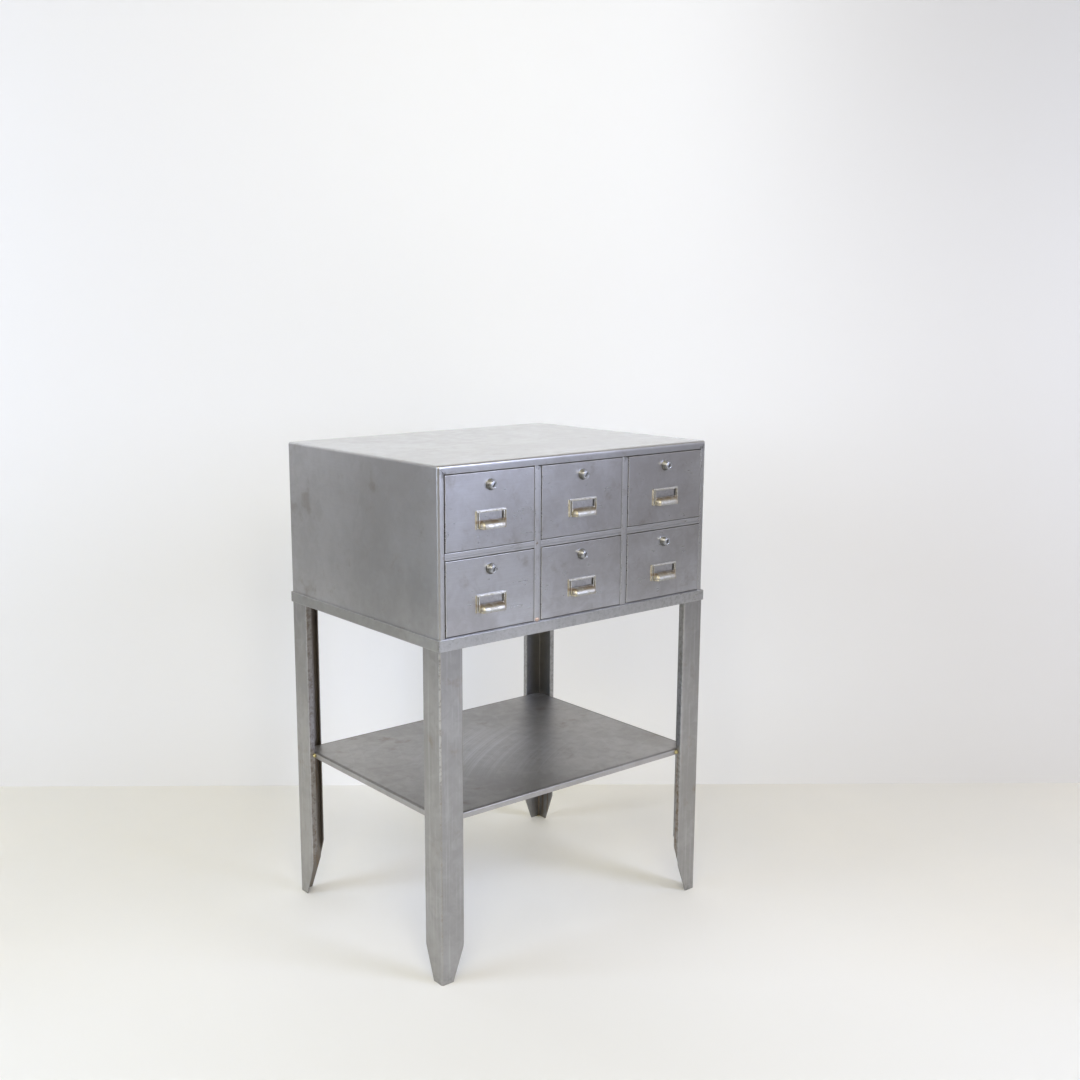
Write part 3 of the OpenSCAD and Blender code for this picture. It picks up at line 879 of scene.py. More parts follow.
    def channel(self, start: Vector, wide: Vector, run: Vector, edge: float = 0.25 * MM,
                open_head: bool = False) -> Form:
        """A channel folded back from the casing's front.

        Args:
            start: A corner of its face.
            wide: The face's width.
            run: Its length.
            edge: Width of its broken edges.
            open_head: Whether its far end is cut on the slant, so that the joint stands open.

        Returns:
            The form.
        """
        form, inward = Form(), Vector((0, self.fold, 0))
        form.sweep(form.chain([start + inward, start, start + wide, start + wide + inward]), run)
        if open_head:
            form.cut(start + wide / 2 + run, (self.head_slant, 0, 1),
                     form.faces(lambda c, n: abs(c.y - LAY.front) < TINY))
        way = run.normalized()
        form.bend(form.edges(lambda m, d: abs(m.y - LAY.front) < TINY and abs(d.dot(way)) > ALONG),
                  self.lip_r, 4)
        form.make_sheet(start + wide / 2 + run / 2 + inward, self.sheet, edge)
        return form

    def build(self) -> None:
        """Builds and dresses the casing."""
        paint = self.finish.paint(self.marks)
        self.wrapper().piece("casing_sheet", "cabinet", "casing_steel", paint,
                             ["casing_wrapper"])
        for side, word in ((-1, "left"), (1, "right")):
            self.post(side).piece(f"post_sheet_{word}", "cabinet", "casing_steel", paint,
                                  [f"post_{word}"])
        self.rails().piece("rail_sheets", "cabinet", "casing_steel", paint, ["mid_rails"])
        inner = Steel("inner_steel", (0.27, 0.265, 0.26), (0.20, 0.195, 0.185), gloss=0.42,
                      coat=0.0).paint()
        panel = Steel("back_steel", (0.36, 0.36, 0.375), (0.27, 0.27, 0.28), gloss=0.38).paint()
        for node in ("drawer_ledges", "drawer_guides"):
            dress(node, inner)
        for node in ("casing_floor", "back_panel"):
            dress(node, panel)


def dress(node: str, paint: bpy.types.Material) -> None:
    """Gives a CAD node that keeps its shape a finish.

    Args:
        node: The node's name.
        paint: The material.
    """
    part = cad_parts[node]
    if not part.material_slots:
        part.data.materials.append(paint)
    for slot in part.material_slots:
        slot.material = paint
    LOG.info("%s: CAD node, dressed in %s", node, paint.name)


# ---- Drawers ----


@dataclass
class LabelPull:
    """Card frame over a finger lip, pressed from one sheet. Sizes from its lower edge."""

    width: float = 70 * MM
    height: float = 34 * MM
    rise: float = 3 * MM
    sheet: float = 1 * MM
    window: float = 57 * MM
    window_top: float = 29.5 * MM
    lip_top: float = 15 * MM
    lip_r: float = 12 * MM
    end_r: float = 8 * MM
    corner_r: float = 2 * MM
    base: float = 36 * MM
    tab: float = 6 * MM
    front_sheet: float = 1.2 * MM
    drawn: float = 0.85
    hem: float = 0.6 * MM
    window_turn: float = 1.1 * MM
    # Its brown stain colour also paints the brown reflection on the lip's brow.
    finish: Plate = field(default_factory=lambda: Plate(
        "pull_nickel", (0.50, 0.49, 0.455), (0.36, 0.33, 0.26), 0.35, stain=(0.27, 0.20, 0.13)))

    def tarnish_and_painted_light(self, tree: Tree) -> Wire:
        """Painted reflection and shade on the pull: a brown band on the brow of its lip, and darker
        towards its right end.
        """
        x, _, up = drawer_axes(tree)
        # A painted brown reflection on the brow of the lip.
        brow_reflection = (up - self.base).between(self.lip_top - 6 * MM, self.lip_top - 3.5 * MM)
        patchy = tree.cloud(45, 3, 0.5, at=(2, 0, 5)).between(0.3, 0.6)
        brow_reflection = brow_reflection * (up - self.base).between(self.lip_top + 2 * MM, self.lip_top)
        # Painted shade towards the lip's right end.
        end = x.between(8 * MM, 26 * MM) * (up - self.base).between(
            self.lip_top, self.lip_top - 2 * MM)
        return (brow_reflection * patchy * 0.75).or_(end * 0.4)

    def lip(self) -> Form:
        """The finger lip's outer skin, rounded at both ends.

        Returns:
            The form, open below and behind.
        """
        form = Form()
        low = self.lip_top - self.lip_r
        squash = Matrix.Diagonal((self.end_r / self.lip_r, 1, 1, 1))
        place = Matrix.Translation((0, -self.rise, low)) @ squash @ Matrix.Rotation(
            math.pi / 2, 4, "Y")
        bmesh.ops.create_uvsphere(form.bm, u_segments=40, v_segments=19, radius=self.lip_r,
                                  matrix=place)
        straight = (self.window + 2 * self.sheet) / 2 - self.end_r
        for side in (-1, 1):
            verts = [v for v in form.bm.verts if v.co.x * side > 0]
            bmesh.ops.translate(form.bm, verts=verts, vec=(side * straight, 0, 0))
        form.cut((0, 0, low), (0, 0, -1))
        form.cut((0, -self.rise, 0), (0, 1, 0))
        form.sweep(form.edges(lambda m, d: abs(m.z - low) < TINY and abs(d.z) < ACROSS
                              and m.y < -self.rise - TINY), (0, 0, -low))
        form.weld()
        return form

    def build(self, number: int, paint: bpy.types.Material) -> None:
        """Builds one drawer's pull.

        Args:
            number: The drawer.
            paint: The pull's material.
        """
        form = self.lip()
        arch = form.edges(lambda m, d: abs(m.y + self.rise) < TINY and abs(d.y) < ACROSS)
        feet = sorted((v for e in arch for v in e.verts if v.co.z < HAIR), key=lambda v: v.co.x)
        half, bm = self.width / 2, form.bm
        outer = [bm.verts.new((x, -self.rise, z)) for x, z in
                 ((-half, 0), (-half, self.height), (half, self.height), (half, 0))]
        ring = [feet[0], *outer, feet[-1]]
        rim = [bm.edges.new(pair) for pair in zip(ring, ring[1:])]
        w = self.window / 2
        hole = form.chain([(x, -self.rise, z) for x, z in (
            (-w, self.lip_top + self.hem), (-w, self.window_top),
            (w, self.window_top), (w, self.lip_top + self.hem))], closed=True)
        bmesh.ops.triangle_fill(bm, edges=arch + rim + hole, use_beauty=True)
        form.settle()
        flat = form.faces(lambda c, n: abs(c.y + self.rise) < TINY and abs(n.y) > ALONG)
        bmesh.ops.dissolve_limit(bm, angle_limit=0.02, use_dissolve_boundaries=False,
                                 verts=parts_of(flat, "verts"), edges=parts_of(flat, "edges"))
        self._groove(form)
        walls = form.edges(lambda m, d: abs(m.y + self.rise) < TINY and self._outside(m))
        form.sweep(walls, (0, self.rise, 0))
        form.sweep(form.edges(lambda m, d: abs(m.y + self.rise) < TINY and self._in_window(m)),
                   (0, self.window_turn, 0))
        form.bend(form.edges(lambda m, d: abs(d.y) > ALONG and abs(abs(m.x) - half) < TINY),
                  self.corner_r, 4)
        shoulder = form.edges(lambda m, d: abs(m.y + self.rise) < TINY and abs(d.y) < ACROSS
                              and self._outside(m, 2.2 * MM))
        form.bend([e for e in shoulder if len(e.link_faces) == 2 and e.calc_face_angle(0) > 0.5],
                  1.3 * MM, 4)
        form.bend([e for e in form.edges(lambda m, d: abs(m.y + self.rise) < TINY
                                         and self._in_window(m))
                   if len(e.link_faces) == 2], 0.5 * MM, 3)
        form.make_sheet((0, 0, self.lip_top / 2), self.sheet * self.drawn, 0.15 * MM, 1)
        for side in (-1, 1):
            self._tab(form, side)
        form.shift(Matrix.Translation(LAY.drawer(number) + Vector((0, 0, self.base))))
        form.piece(f"pull_{number}", f"drawer_{number}", "pull_nickel", paint,
                   [f"label_pull_{number}"])

    def _outside(self, m: Vector, reach: float = TINY) -> bool:
        """Whether a point is on the frame's sides or top, within reach."""
        return abs(abs(m.x) - self.width / 2) < reach or abs(m.z - self.height) < reach

    def _in_window(self, m: Vector) -> bool:
        """Whether a point is on the card window's edge."""
        low, high = self.lip_top + self.hem, self.window_top
        upright = abs(abs(m.x) - self.window / 2) < TINY and low - TINY < m.z < high + TINY
        level = min(abs(m.z - low), abs(m.z - high)) < TINY
        return upright or (level and abs(m.x) < self.window / 2)

    def _groove(self, form: Form) -> None:
        """Presses a groove along each side rail of the frame."""
        inner, outer, low, high = (self.window / 2 + 1.9 * MM, self.width / 2 - 2.2 * MM,
                                   3 * MM, self.height - 3.5 * MM)

        def plate() -> list[bmesh.types.BMFace]:
            """The frame's flat faces."""
            return form.faces(lambda c, n: abs(c.y + self.rise) < TINY and abs(n.y) > ALONG)

        for x in (-outer, -inner, inner, outer):
            form.cut((x, 0, 0), (1, 0, 0), plate(), clear=False)
        for z in (low, high):
            form.cut((0, 0, z), (0, 0, 1), plate(), clear=False)
        for side in (-1, 1):
            found = form.faces(lambda c, n: abs(c.y + self.rise) < TINY and abs(n.y) > ALONG
                               and inner < c.x * side < outer and low < c.z < high)
            form.bm.normal_update()
            sign = -1 if found and found[0].normal.y < 0 else 1
            bmesh.ops.inset_region(form.bm, faces=found, thickness=0.6 * MM,
                                   depth=sign * 0.7 * MM, use_even_offset=True)

    def _tab(self, form: Form, side: int) -> None:
        """Adds a tab that is clinched behind the drawer front.

        Args:
            form: The pull.
            side: -1 for the left tab, 1 for the right.
        """
        tab, x = Form(), side * (self.width / 2 - self.sheet / 2)
        low = self.lip_top
        spine = tab.chain([(x, -self.sheet, low), (x, self.front_sheet + 1.5 * self.sheet, low),
                           (x - side * self.tab, self.front_sheet + 1.5 * self.sheet, low)])
        tab.sweep(spine, (0, 0, self.tab))
        tab.bend(tab.edges(lambda m, d: abs(d.z) > ALONG and abs(m.x - x) < TINY
                           and m.y > self.front_sheet), 0.6 * MM, 3)
        tab.face_out((0, 0, low + self.tab / 2))
        tab.thicken(self.sheet * 0.9)
        form.absorb(tab)


@dataclass
class Lock:
    """Round barrel with a turning plug, on an axis along Y through the drawer's face."""

    axis: float = 116 * MM
    radius: float = 8.25 * MM
    out: float = 10.5 * MM
    collar_r: float = 11 * MM
    collar_h: float = 5 * MM
    stem: float = 7.25 * MM
    stem_end: float = 13 * MM
    bore: float = 5.55 * MM
    head: float = 6.7 * MM
    head_t: float = 1.6 * MM
    play: float = 0.05 * MM
    plug: float = 5.5 * MM
    tail: float = 3.5 * MM
    cam_at: float = 14.6 * MM
    tail_end: float = 17.6 * MM
    key_w: float = 2.4 * MM
    key_l: float = 9 * MM
    key_deep: float = 8 * MM
    lean: float = math.radians(30)

    def tarnish_and_painted_light(self, tree: Tree) -> Wire:
        """Painted shade on the collar: dark on its lower left."""
        x, deep, up = drawer_axes(tree)
        low = (x * 0.6 + (up - self.axis) * 0.8).between(-1 * MM, -5 * MM)
        return low * deep.between(-self.collar_h - 1 * MM, -self.collar_h) * 0.85

    def build(self, number: int, nickel: bpy.types.Material, brass: bpy.types.Material) -> None:
        """Builds one drawer's lock.

        Args:
            number: The drawer.
            nickel: The barrel's material.
            brass: The plug's material.
        """
        at = LAY.drawer(number) + Vector((0, 0, self.axis))
        barrel = Form()
        seat = -self.out + self.head_t + self.play
        barrel.turn([(self.bore, self.stem_end), (self.stem, self.stem_end), (self.stem, 0),
                     (self.collar_r, 0), (self.collar_r, -0.9 * MM),
                     (self.collar_r - 0.4 * MM, -1.3 * MM),
                     (self.radius + 0.4 * MM, -self.collar_h),
                     (self.radius, -self.collar_h - 0.4 * MM),
                     (self.radius, -self.out + 1.2 * MM),
                     (self.radius - 0.3 * MM, -self.out + 0.5 * MM),
                     (self.radius - 0.9 * MM, -self.out),
                     (self.head + self.play, -self.out), (self.head + self.play, seat),
                     (self.bore, seat)], at, closed=True)
        barrel.face_out(at)
        barrel.soften(0.12 * MM)
        barrel.piece(f"barrel_{number}", f"drawer_{number}", "lock_nickel", nickel,
                     [f"lock_barrel_{number}"])
        self._plug(at).piece(f"plug_{number}", f"lock_{number}", "lock_brass", brass,
                             [f"lock_plug_{number}"])

    def _plug(self, at: Vector) -> Form:
        """The turning plug with its keyway.

        Args:
            at: The lock's axis at the drawer's face.

        Returns:
            The form.
        """
        form = Form()
        ring = 0.75
        form.turn([(0, -self.out), (self.head * ring, -self.out),
                   (self.head * ring + 0.15 * MM, -self.out + 0.25 * MM),
                   (self.head * ring + 0.45 * MM, -self.out + 0.25 * MM),
                   (self.head * ring + 0.6 * MM, -self.out), (self.head - 0.25 * MM, -self.out),
                   (self.head, -self.out + 0.25 * MM), (self.head, -self.out + self.head_t),
                   (self.plug, -self.out + self.head_t), (self.plug, self.cam_at),
                   (self.tail, self.cam_at), (self.tail, self.tail_end - 0.4 * MM),
                   (self.tail - 0.4 * MM, self.tail_end), (0, self.tail_end)], at)
        form.face_out(at)
        up = Vector((math.sin(self.lean), 0, math.cos(self.lean)))
        over = Vector((math.cos(self.lean), 0, -math.sin(self.lean)))

        def disc() -> list[bmesh.types.BMFace]:
            """The faces of the plug's end."""
            return form.faces(lambda c, n: abs(c.y - at.y + self.out) < TINY)

        for way, half in ((over, self.key_w / 2), (up, self.key_l / 2)):
            for side in (-1, 1):
                form.cut(at + way * side * half, way, disc(), clear=False)
        form.drop(lambda c, n: abs(c.y - at.y + self.out) < TINY
                  and abs((c - at).dot(over)) < self.key_w / 2
                  and abs((c - at).dot(up)) < self.key_l / 2)
        form.sweep([e for e in form.bm.edges if e.is_boundary], (0, self.key_deep, 0))
        form.cap()
        form.soften(0.12 * MM, 1, 1.2)
        return form


@dataclass
class Drawer:
    """One drawer: a folded front, its pull and lock, and the tray behind."""

    number: int
    width: float = 208.6 * MM
    height: float = 140.6 * MM
    drop: float = 0.3 * MM
    fold: float = 11 * MM
    sheet: float = 1.2 * MM
    edge_r: float = 1.1 * MM

    def front(self) -> Form:
        """The drawer's front, a shallow pan.

        Returns:
            The form.
        """
        at = LAY.drawer(self.number) - Vector((0, 0, self.drop))
        half = self.width / 2
        low = at - Vector((half, 0, 0))
        high = at + Vector((half, self.fold, self.height))
        form = Form()
        form.box(low, high)
        form.drop(lambda c, n: n.y > 0.5)
        form.bend(form.edges(lambda m, d: m.y < high.y - TINY), self.edge_r, 4)
        form.ripple(lambda c, n: abs(c.y - low.y) < SKIN, (0, 1, 0), low, high,
                    0.5 * MM, 16.0, 10)
        form.make_sheet(at + Vector((0, self.fold, self.height / 2)), self.sheet)
        return form

    def build(self, paints: dict[str, bpy.types.Material], pull: LabelPull, lock: Lock) -> None:
        """Builds and dresses the drawer.

        Args:
            paints: The materials by slot.
            pull: The label pull.
            lock: The lock.
        """
        self.front().piece(f"front_{self.number}", f"drawer_{self.number}", "drawer_steel",
                           paints["drawer_steel"], [f"drawer_front_{self.number}"])
        pull.build(self.number, paints["pull_nickel"])
        lock.build(self.number, paints["lock_nickel"], paints["lock_brass"])
        dress(f"drawer_tray_{self.number}", paints["tray_steel"])
        dress(f"lock_nut_{self.number}", paints["nut_brass"])
        dress(f"lock_cam_{self.number}", paints["cam_steel"])


@dataclass
class Drawers:
    """All six drawers and the finishes that they share."""

    pull: LabelPull = field(default_factory=LabelPull)
    lock: Lock = field(default_factory=Lock)

    def marks(self, tree: Tree) -> Marks:
        """Where a drawer front is worn by hands and dirty round its hardware, with a painted shade
        band along its edges, painted highlights on its rims and a painted glint by the right post.
        """
        x, _, up = drawer_axes(tree)
        across = abs(x)
        half, tall = LAY.drawer_w / 2, LAY.drawer_h
        ragged = tree.cloud(150, 3, 0.6, at=(4, 1, 2))
        # The rims: worn, with a faint painted highlight.
        rim = across.near(half, 2.2 * MM).or_(up.near(0.0, 2.2 * MM)).or_(
            up.near(tall, 2.2 * MM))
        round_pull = across.between(50 * MM, 30 * MM) * up.near(50 * MM, 34 * MM)
        # A band inside the rims: painted shade.
        border_shade = across.between(half - 6 * MM, half - 1 * MM).or_(
            up.between(5 * MM, 0.5 * MM)).or_(up.between(tall - 5 * MM, tall - 0.5 * MM))
        # The left rim: painted highlight.
        left_rim_highlight = x.near(-half, 3 * MM) * (0.3 + ragged * 0.5)
        world_x, _, world_z = tree.axes()
        # A painted glint strip on the right edge of the top right drawer.
        glint_strip = world_x.near(LAY.pitch_x + half - 1.2 * MM, 2.5 * MM) * world_z.near(
            LAY.head - 18 * MM, 22 * MM).between(0.0, 0.3)
        soft = tree.cloud(24, 3, 0.5, at=(2, 8, 4)).between(0.5, 0.68)
        return Marks(wear_and_highlight=(rim * ragged.between(0.2, 0.7) * 0.12).or_(left_rim_highlight).or_(glint_strip),
                     grime_and_shade=(round_pull * ragged.between(0.42, 0.7) * 0.35).or_(
                         border_shade * (0.1 + soft * 0.25)))

    def build(self) -> None:
        """Builds and dresses the drawers."""
        paints = {
            # Its near-white bright colour paints the highlights and the glint.
            "drawer_steel": Steel("drawer_steel", (0.59, 0.595, 0.625), (0.44, 0.43, 0.44),
                                  bright=(0.88, 0.885, 0.90)).paint(self.marks),
            "tray_steel": Steel("tray_steel", (0.36, 0.36, 0.37), (0.28, 0.28, 0.285),
                                gloss=0.4, coat=0.0).paint(),
            "cam_steel": Steel("cam_steel", (0.35, 0.35, 0.35), (0.25, 0.25, 0.25), gloss=0.35,
                               coat=0.0, wave_depth=0.1 * MM).paint(),
            "pull_nickel": self.pull.finish.paint(self.pull.tarnish_and_painted_light),
            # Its dark stain colour paints the shade on the collar's lower left.
            "lock_nickel": Plate("lock_nickel", (0.46, 0.475, 0.50), (0.34, 0.345, 0.355), 0.3,
                                 stain=(0.13, 0.13, 0.125)).paint(self.lock.tarnish_and_painted_light),
            "lock_brass": Plate("plug_metal", (0.50, 0.51, 0.53), (0.36, 0.36, 0.365),
                                0.26).paint(),
            "nut_brass": Plate("nut_metal", (0.52, 0.46, 0.33), (0.34, 0.29, 0.2), 0.3).paint(),
        }
        for number in range(1, 2 * LAY.columns + 1):
            Drawer(number).build(paints, self.pull, self.lock)


# ---- Stand ----


@dataclass
class Leg:
    """Lipped angle with a tapered foot; local x and y run in from its outer corner."""

    side: int
    end: int
    flange: float = 54 * MM
    lip: float = 13 * MM
    sheet: float = 2.5 * MM
    corner_r: float = 4.5 * MM
    lip_r: float = 3 * MM
    foot: float = 27 * MM
    taper: float = 73 * MM

    def spot(self, x: float, y: float, z: float) -> Vector:
        """A place on the object from a place on the leg."""
        return Vector((self.side * (LAY.leg_x - x), LAY.middle + self.end * (LAY.leg_y - y), z))

    def build(self, name: str, paint: bpy.types.Material) -> None:
        """Builds the leg.

        Args:
            name: Where it stands, such as front_left.
            paint: Its material.
        """
        form = Form()
        spine = form.chain([self.spot(*p, 0) for p in (
            (self.flange, self.lip), (self.flange, 0), (0, 0), (0, self.flange),
            (self.lip, self.flange))])
        form.sweep(spine, (0, 0, LAY.leg_top))
        for places, radius in ((((0, 0),), self.corner_r),
                               (((self.flange, 0), (0, self.flange)), self.lip_r)):
            spots = [self.spot(*p, 0) for p in places]
            form.bend(form.edges(lambda m, d: abs(d.z) > ALONG and any(
                (m.xy - s.xy).length < TINY for s in spots)), radius, 5)
        slope = self.taper / (self.flange - self.foot)
        form.cut(self.spot(self.foot, 0, 0), (-self.side * slope, -self.end * slope, -1))
        form.make_sheet(self.spot(self.flange / 2, self.flange / 2, LAY.leg_top / 2), self.sheet,
                        0.4 * MM)
        form.piece(f"leg_{name}_sheet", "cabinet", "leg_steel", paint, [f"leg_{name}"])


@dataclass
class Stand:
    """Four legs under a mitred angle frame."""

    frame_x: float = 348.9 * MM
    frame_y: float = 267.9 * MM
    frame_h: float = 22 * MM
    iron: float = 2.5 * MM
    ledge: float = 24 * MM
    seam: float = 0.12 * MM

    def leg_marks(self, tree: Tree) -> Marks:
        """Where the legs are worn, rusty inside and dirty at the feet, with a painted highlight on
        their outer corners above the shelf.
        """
        x, y, z = tree.axes()
        u = LAY.leg_x - abs(x)
        v = LAY.leg_y - abs(y - LAY.middle)
        ragged = tree.cloud(120, 4, 0.65)
        patches = tree.cloud(22, 4, 0.6, stretch=(1, 1, 0.35), at=(2, 4, 1))
        corner = (u.near(0, 6 * MM) * v.near(0, 6 * MM)).between(0.35, 0.6)
        lips = u.near(Leg.flange, 2.5 * MM).or_(v.near(Leg.flange, 2.5 * MM))
        inside = u.between(1.5 * MM, 2.6 * MM) * v.between(1.5 * MM, 2.6 * MM)
        runs = tree.cloud(90, 4, 0.6, stretch=(1, 1, 0.05), at=(1, 1, 7)).between(0.48, 0.62)
        foot = z.between(30 * MM, 0.0) * ragged.between(0.4, 0.7)
        # Height above which the corners carry a painted highlight.
        upper = z.between(380 * MM, 430 * MM)
        low = z.between(334 * MM, 314 * MM)
        specks = tree.cloud(420, 2, 0.6, at=(3, 3, 3)).between(0.68, 0.76) * (1 - low)
        edge_stain = corner * (1 - upper) * ragged.between(0.5, 0.62)
        streaks = tree.cloud(150, 3, 0.5, stretch=(1, 1, 0.03), at=(6, 2, 0)).between(0.5, 0.72)
        left = x.between(0.1, -0.1)
        # Outer corners: worn low down, with a painted highlight above the shelf.
        return Marks(wear_and_highlight=(corner * (0.05 + upper * 0.5)).or_(lips * 0.2) * ragged.between(
                         0.4, 0.55),
                     grime_and_shade=(inside * (left * 0.35 + 0.52)).or_(foot * 0.6),
                     rusty=(inside * runs * low * 0.8).or_(inside * left * 0.4).or_(
                         edge_stain * 0.3).or_(patches.between(0.64, 0.76) * 0.2),
                     scratched=(streaks * (1 - inside) * 0.25).or_(specks * inside * 0.7))

    def frame_marks(self, tree: Tree) -> Marks:
        """Where the frame is worn and where its corners are stained by the braze; its front face is
        painted lighter, more so towards the right.
        """
        x, y, z = tree.axes()
        ragged = tree.cloud(170, 3, 0.6)
        level = z.near(LAY.leg_top, 2 * MM).or_(z.near(LAY.leg_top + self.frame_h, 2 * MM))
        corner = abs(x).near(self.frame_x, 7 * MM) * abs(y - LAY.middle).near(
            self.frame_y, 7 * MM)
        face = y.between(LAY.middle - self.frame_y + 2 * MM, LAY.middle - self.frame_y + 1 * MM)
        # The front face: painted light, stronger towards the right; the top and bottom edges worn.
        worn = (level * 0.7).or_(face * (0.55 + x.between(0.1, 0.33) * 0.3))
        mitre = abs(x).near(self.frame_x, 2.5 * MM) * abs(y - LAY.middle).near(
            self.frame_y, 2.5 * MM)
        return Marks(wear_and_highlight=worn * ragged.between(0.2, 0.6),
                     grime_and_shade=(corner * ragged.between(0.4, 0.7) * 0.5).or_(mitre),
                     rusty=corner * ragged.between(0.5, 0.64) * 0.5)

    def iron_side(self, length: float, half: float, turn: float) -> Form:
        """One side of the frame, mitred at both ends.

        Args:
            length: Its length along the outer face.
            half: Distance of the outer face from the frame's middle.
            turn: Angle about Z from the front.

        Returns:
            The form.
        """
        form, low = Form(), LAY.leg_top
        section = ((0, low), (self.iron + self.ledge, low),
                   (self.iron + self.ledge, low + self.iron),
                   (self.iron, low + self.iron), (self.iron, low + self.frame_h),
                   (0, low + self.frame_h))
        ring = form.chain([(-length / 2, y - half, z) for y, z in section], closed=True)
        bmesh.ops.contextual_create(form.bm, geom=ring)
        made = bmesh.ops.extrude_face_region(form.bm, geom=form.bm.faces[:])
        verts = [g for g in made["geom"] if isinstance(g, bmesh.types.BMVert)]
        bmesh.ops.translate(form.bm, verts=verts, vec=(length, 0, 0))
        for way in (-1, 1):
            form.cut((way * (length / 2 - self.seam), -half, 0), (way, 1, 0))
            form.cap()
        form.face_out((0, self.iron / 2 - half, low + self.frame_h / 2))
        form.bend(form.edges(lambda m, d: abs(d.x) > ALONG and m.y < -half + TINY), 0.8 * MM, 3)
        form.soften(0.3 * MM)
        form.shift(Matrix.Translation((0, LAY.middle, 0)) @ Matrix.Rotation(turn, 4, "Z"))
        return form

    def build(self) -> None:
        """Builds and dresses the legs and the frame."""
        legs = Steel("leg_steel", (0.375, 0.37, 0.37), (0.30, 0.295, 0.29), gloss=0.34,
                     grain=Grain.UPRIGHT, rust=(0.19, 0.12, 0.05),
                     dirt_and_shade_colour=(0.13, 0.13, 0.12), bright=(0.74, 0.745, 0.76)).paint(self.leg_marks)
        for side, right in ((-1, "left"), (1, "right")):
            for end, back in ((-1, "front"), (1, "back")):
                Leg(side, end).build(f"{back}_{right}", legs)
        iron = Steel("frame_steel", (0.43, 0.43, 0.43), (0.35, 0.35, 0.345),
                     gloss=0.34).paint(self.frame_marks)
        long, short = (self.frame_x, self.frame_y), (self.frame_y, self.frame_x)
        sides = (("front", 0, *long), ("right", 90, *short),
                 ("back", 180, *long), ("left", 270, *short))
        for word, turn, reach, half in sides:
            self.iron_side(2 * reach, half, math.radians(turn)).piece(
                f"frame_{word}_iron", "cabinet", "frame_steel", iron, [f"frame_{word}"])


@dataclass(frozen=True)
class Swing:
    """One swing of the disc that ground the shelf: its middle, and how fine its lines are."""

    x: float
    y: float
    fineness: float


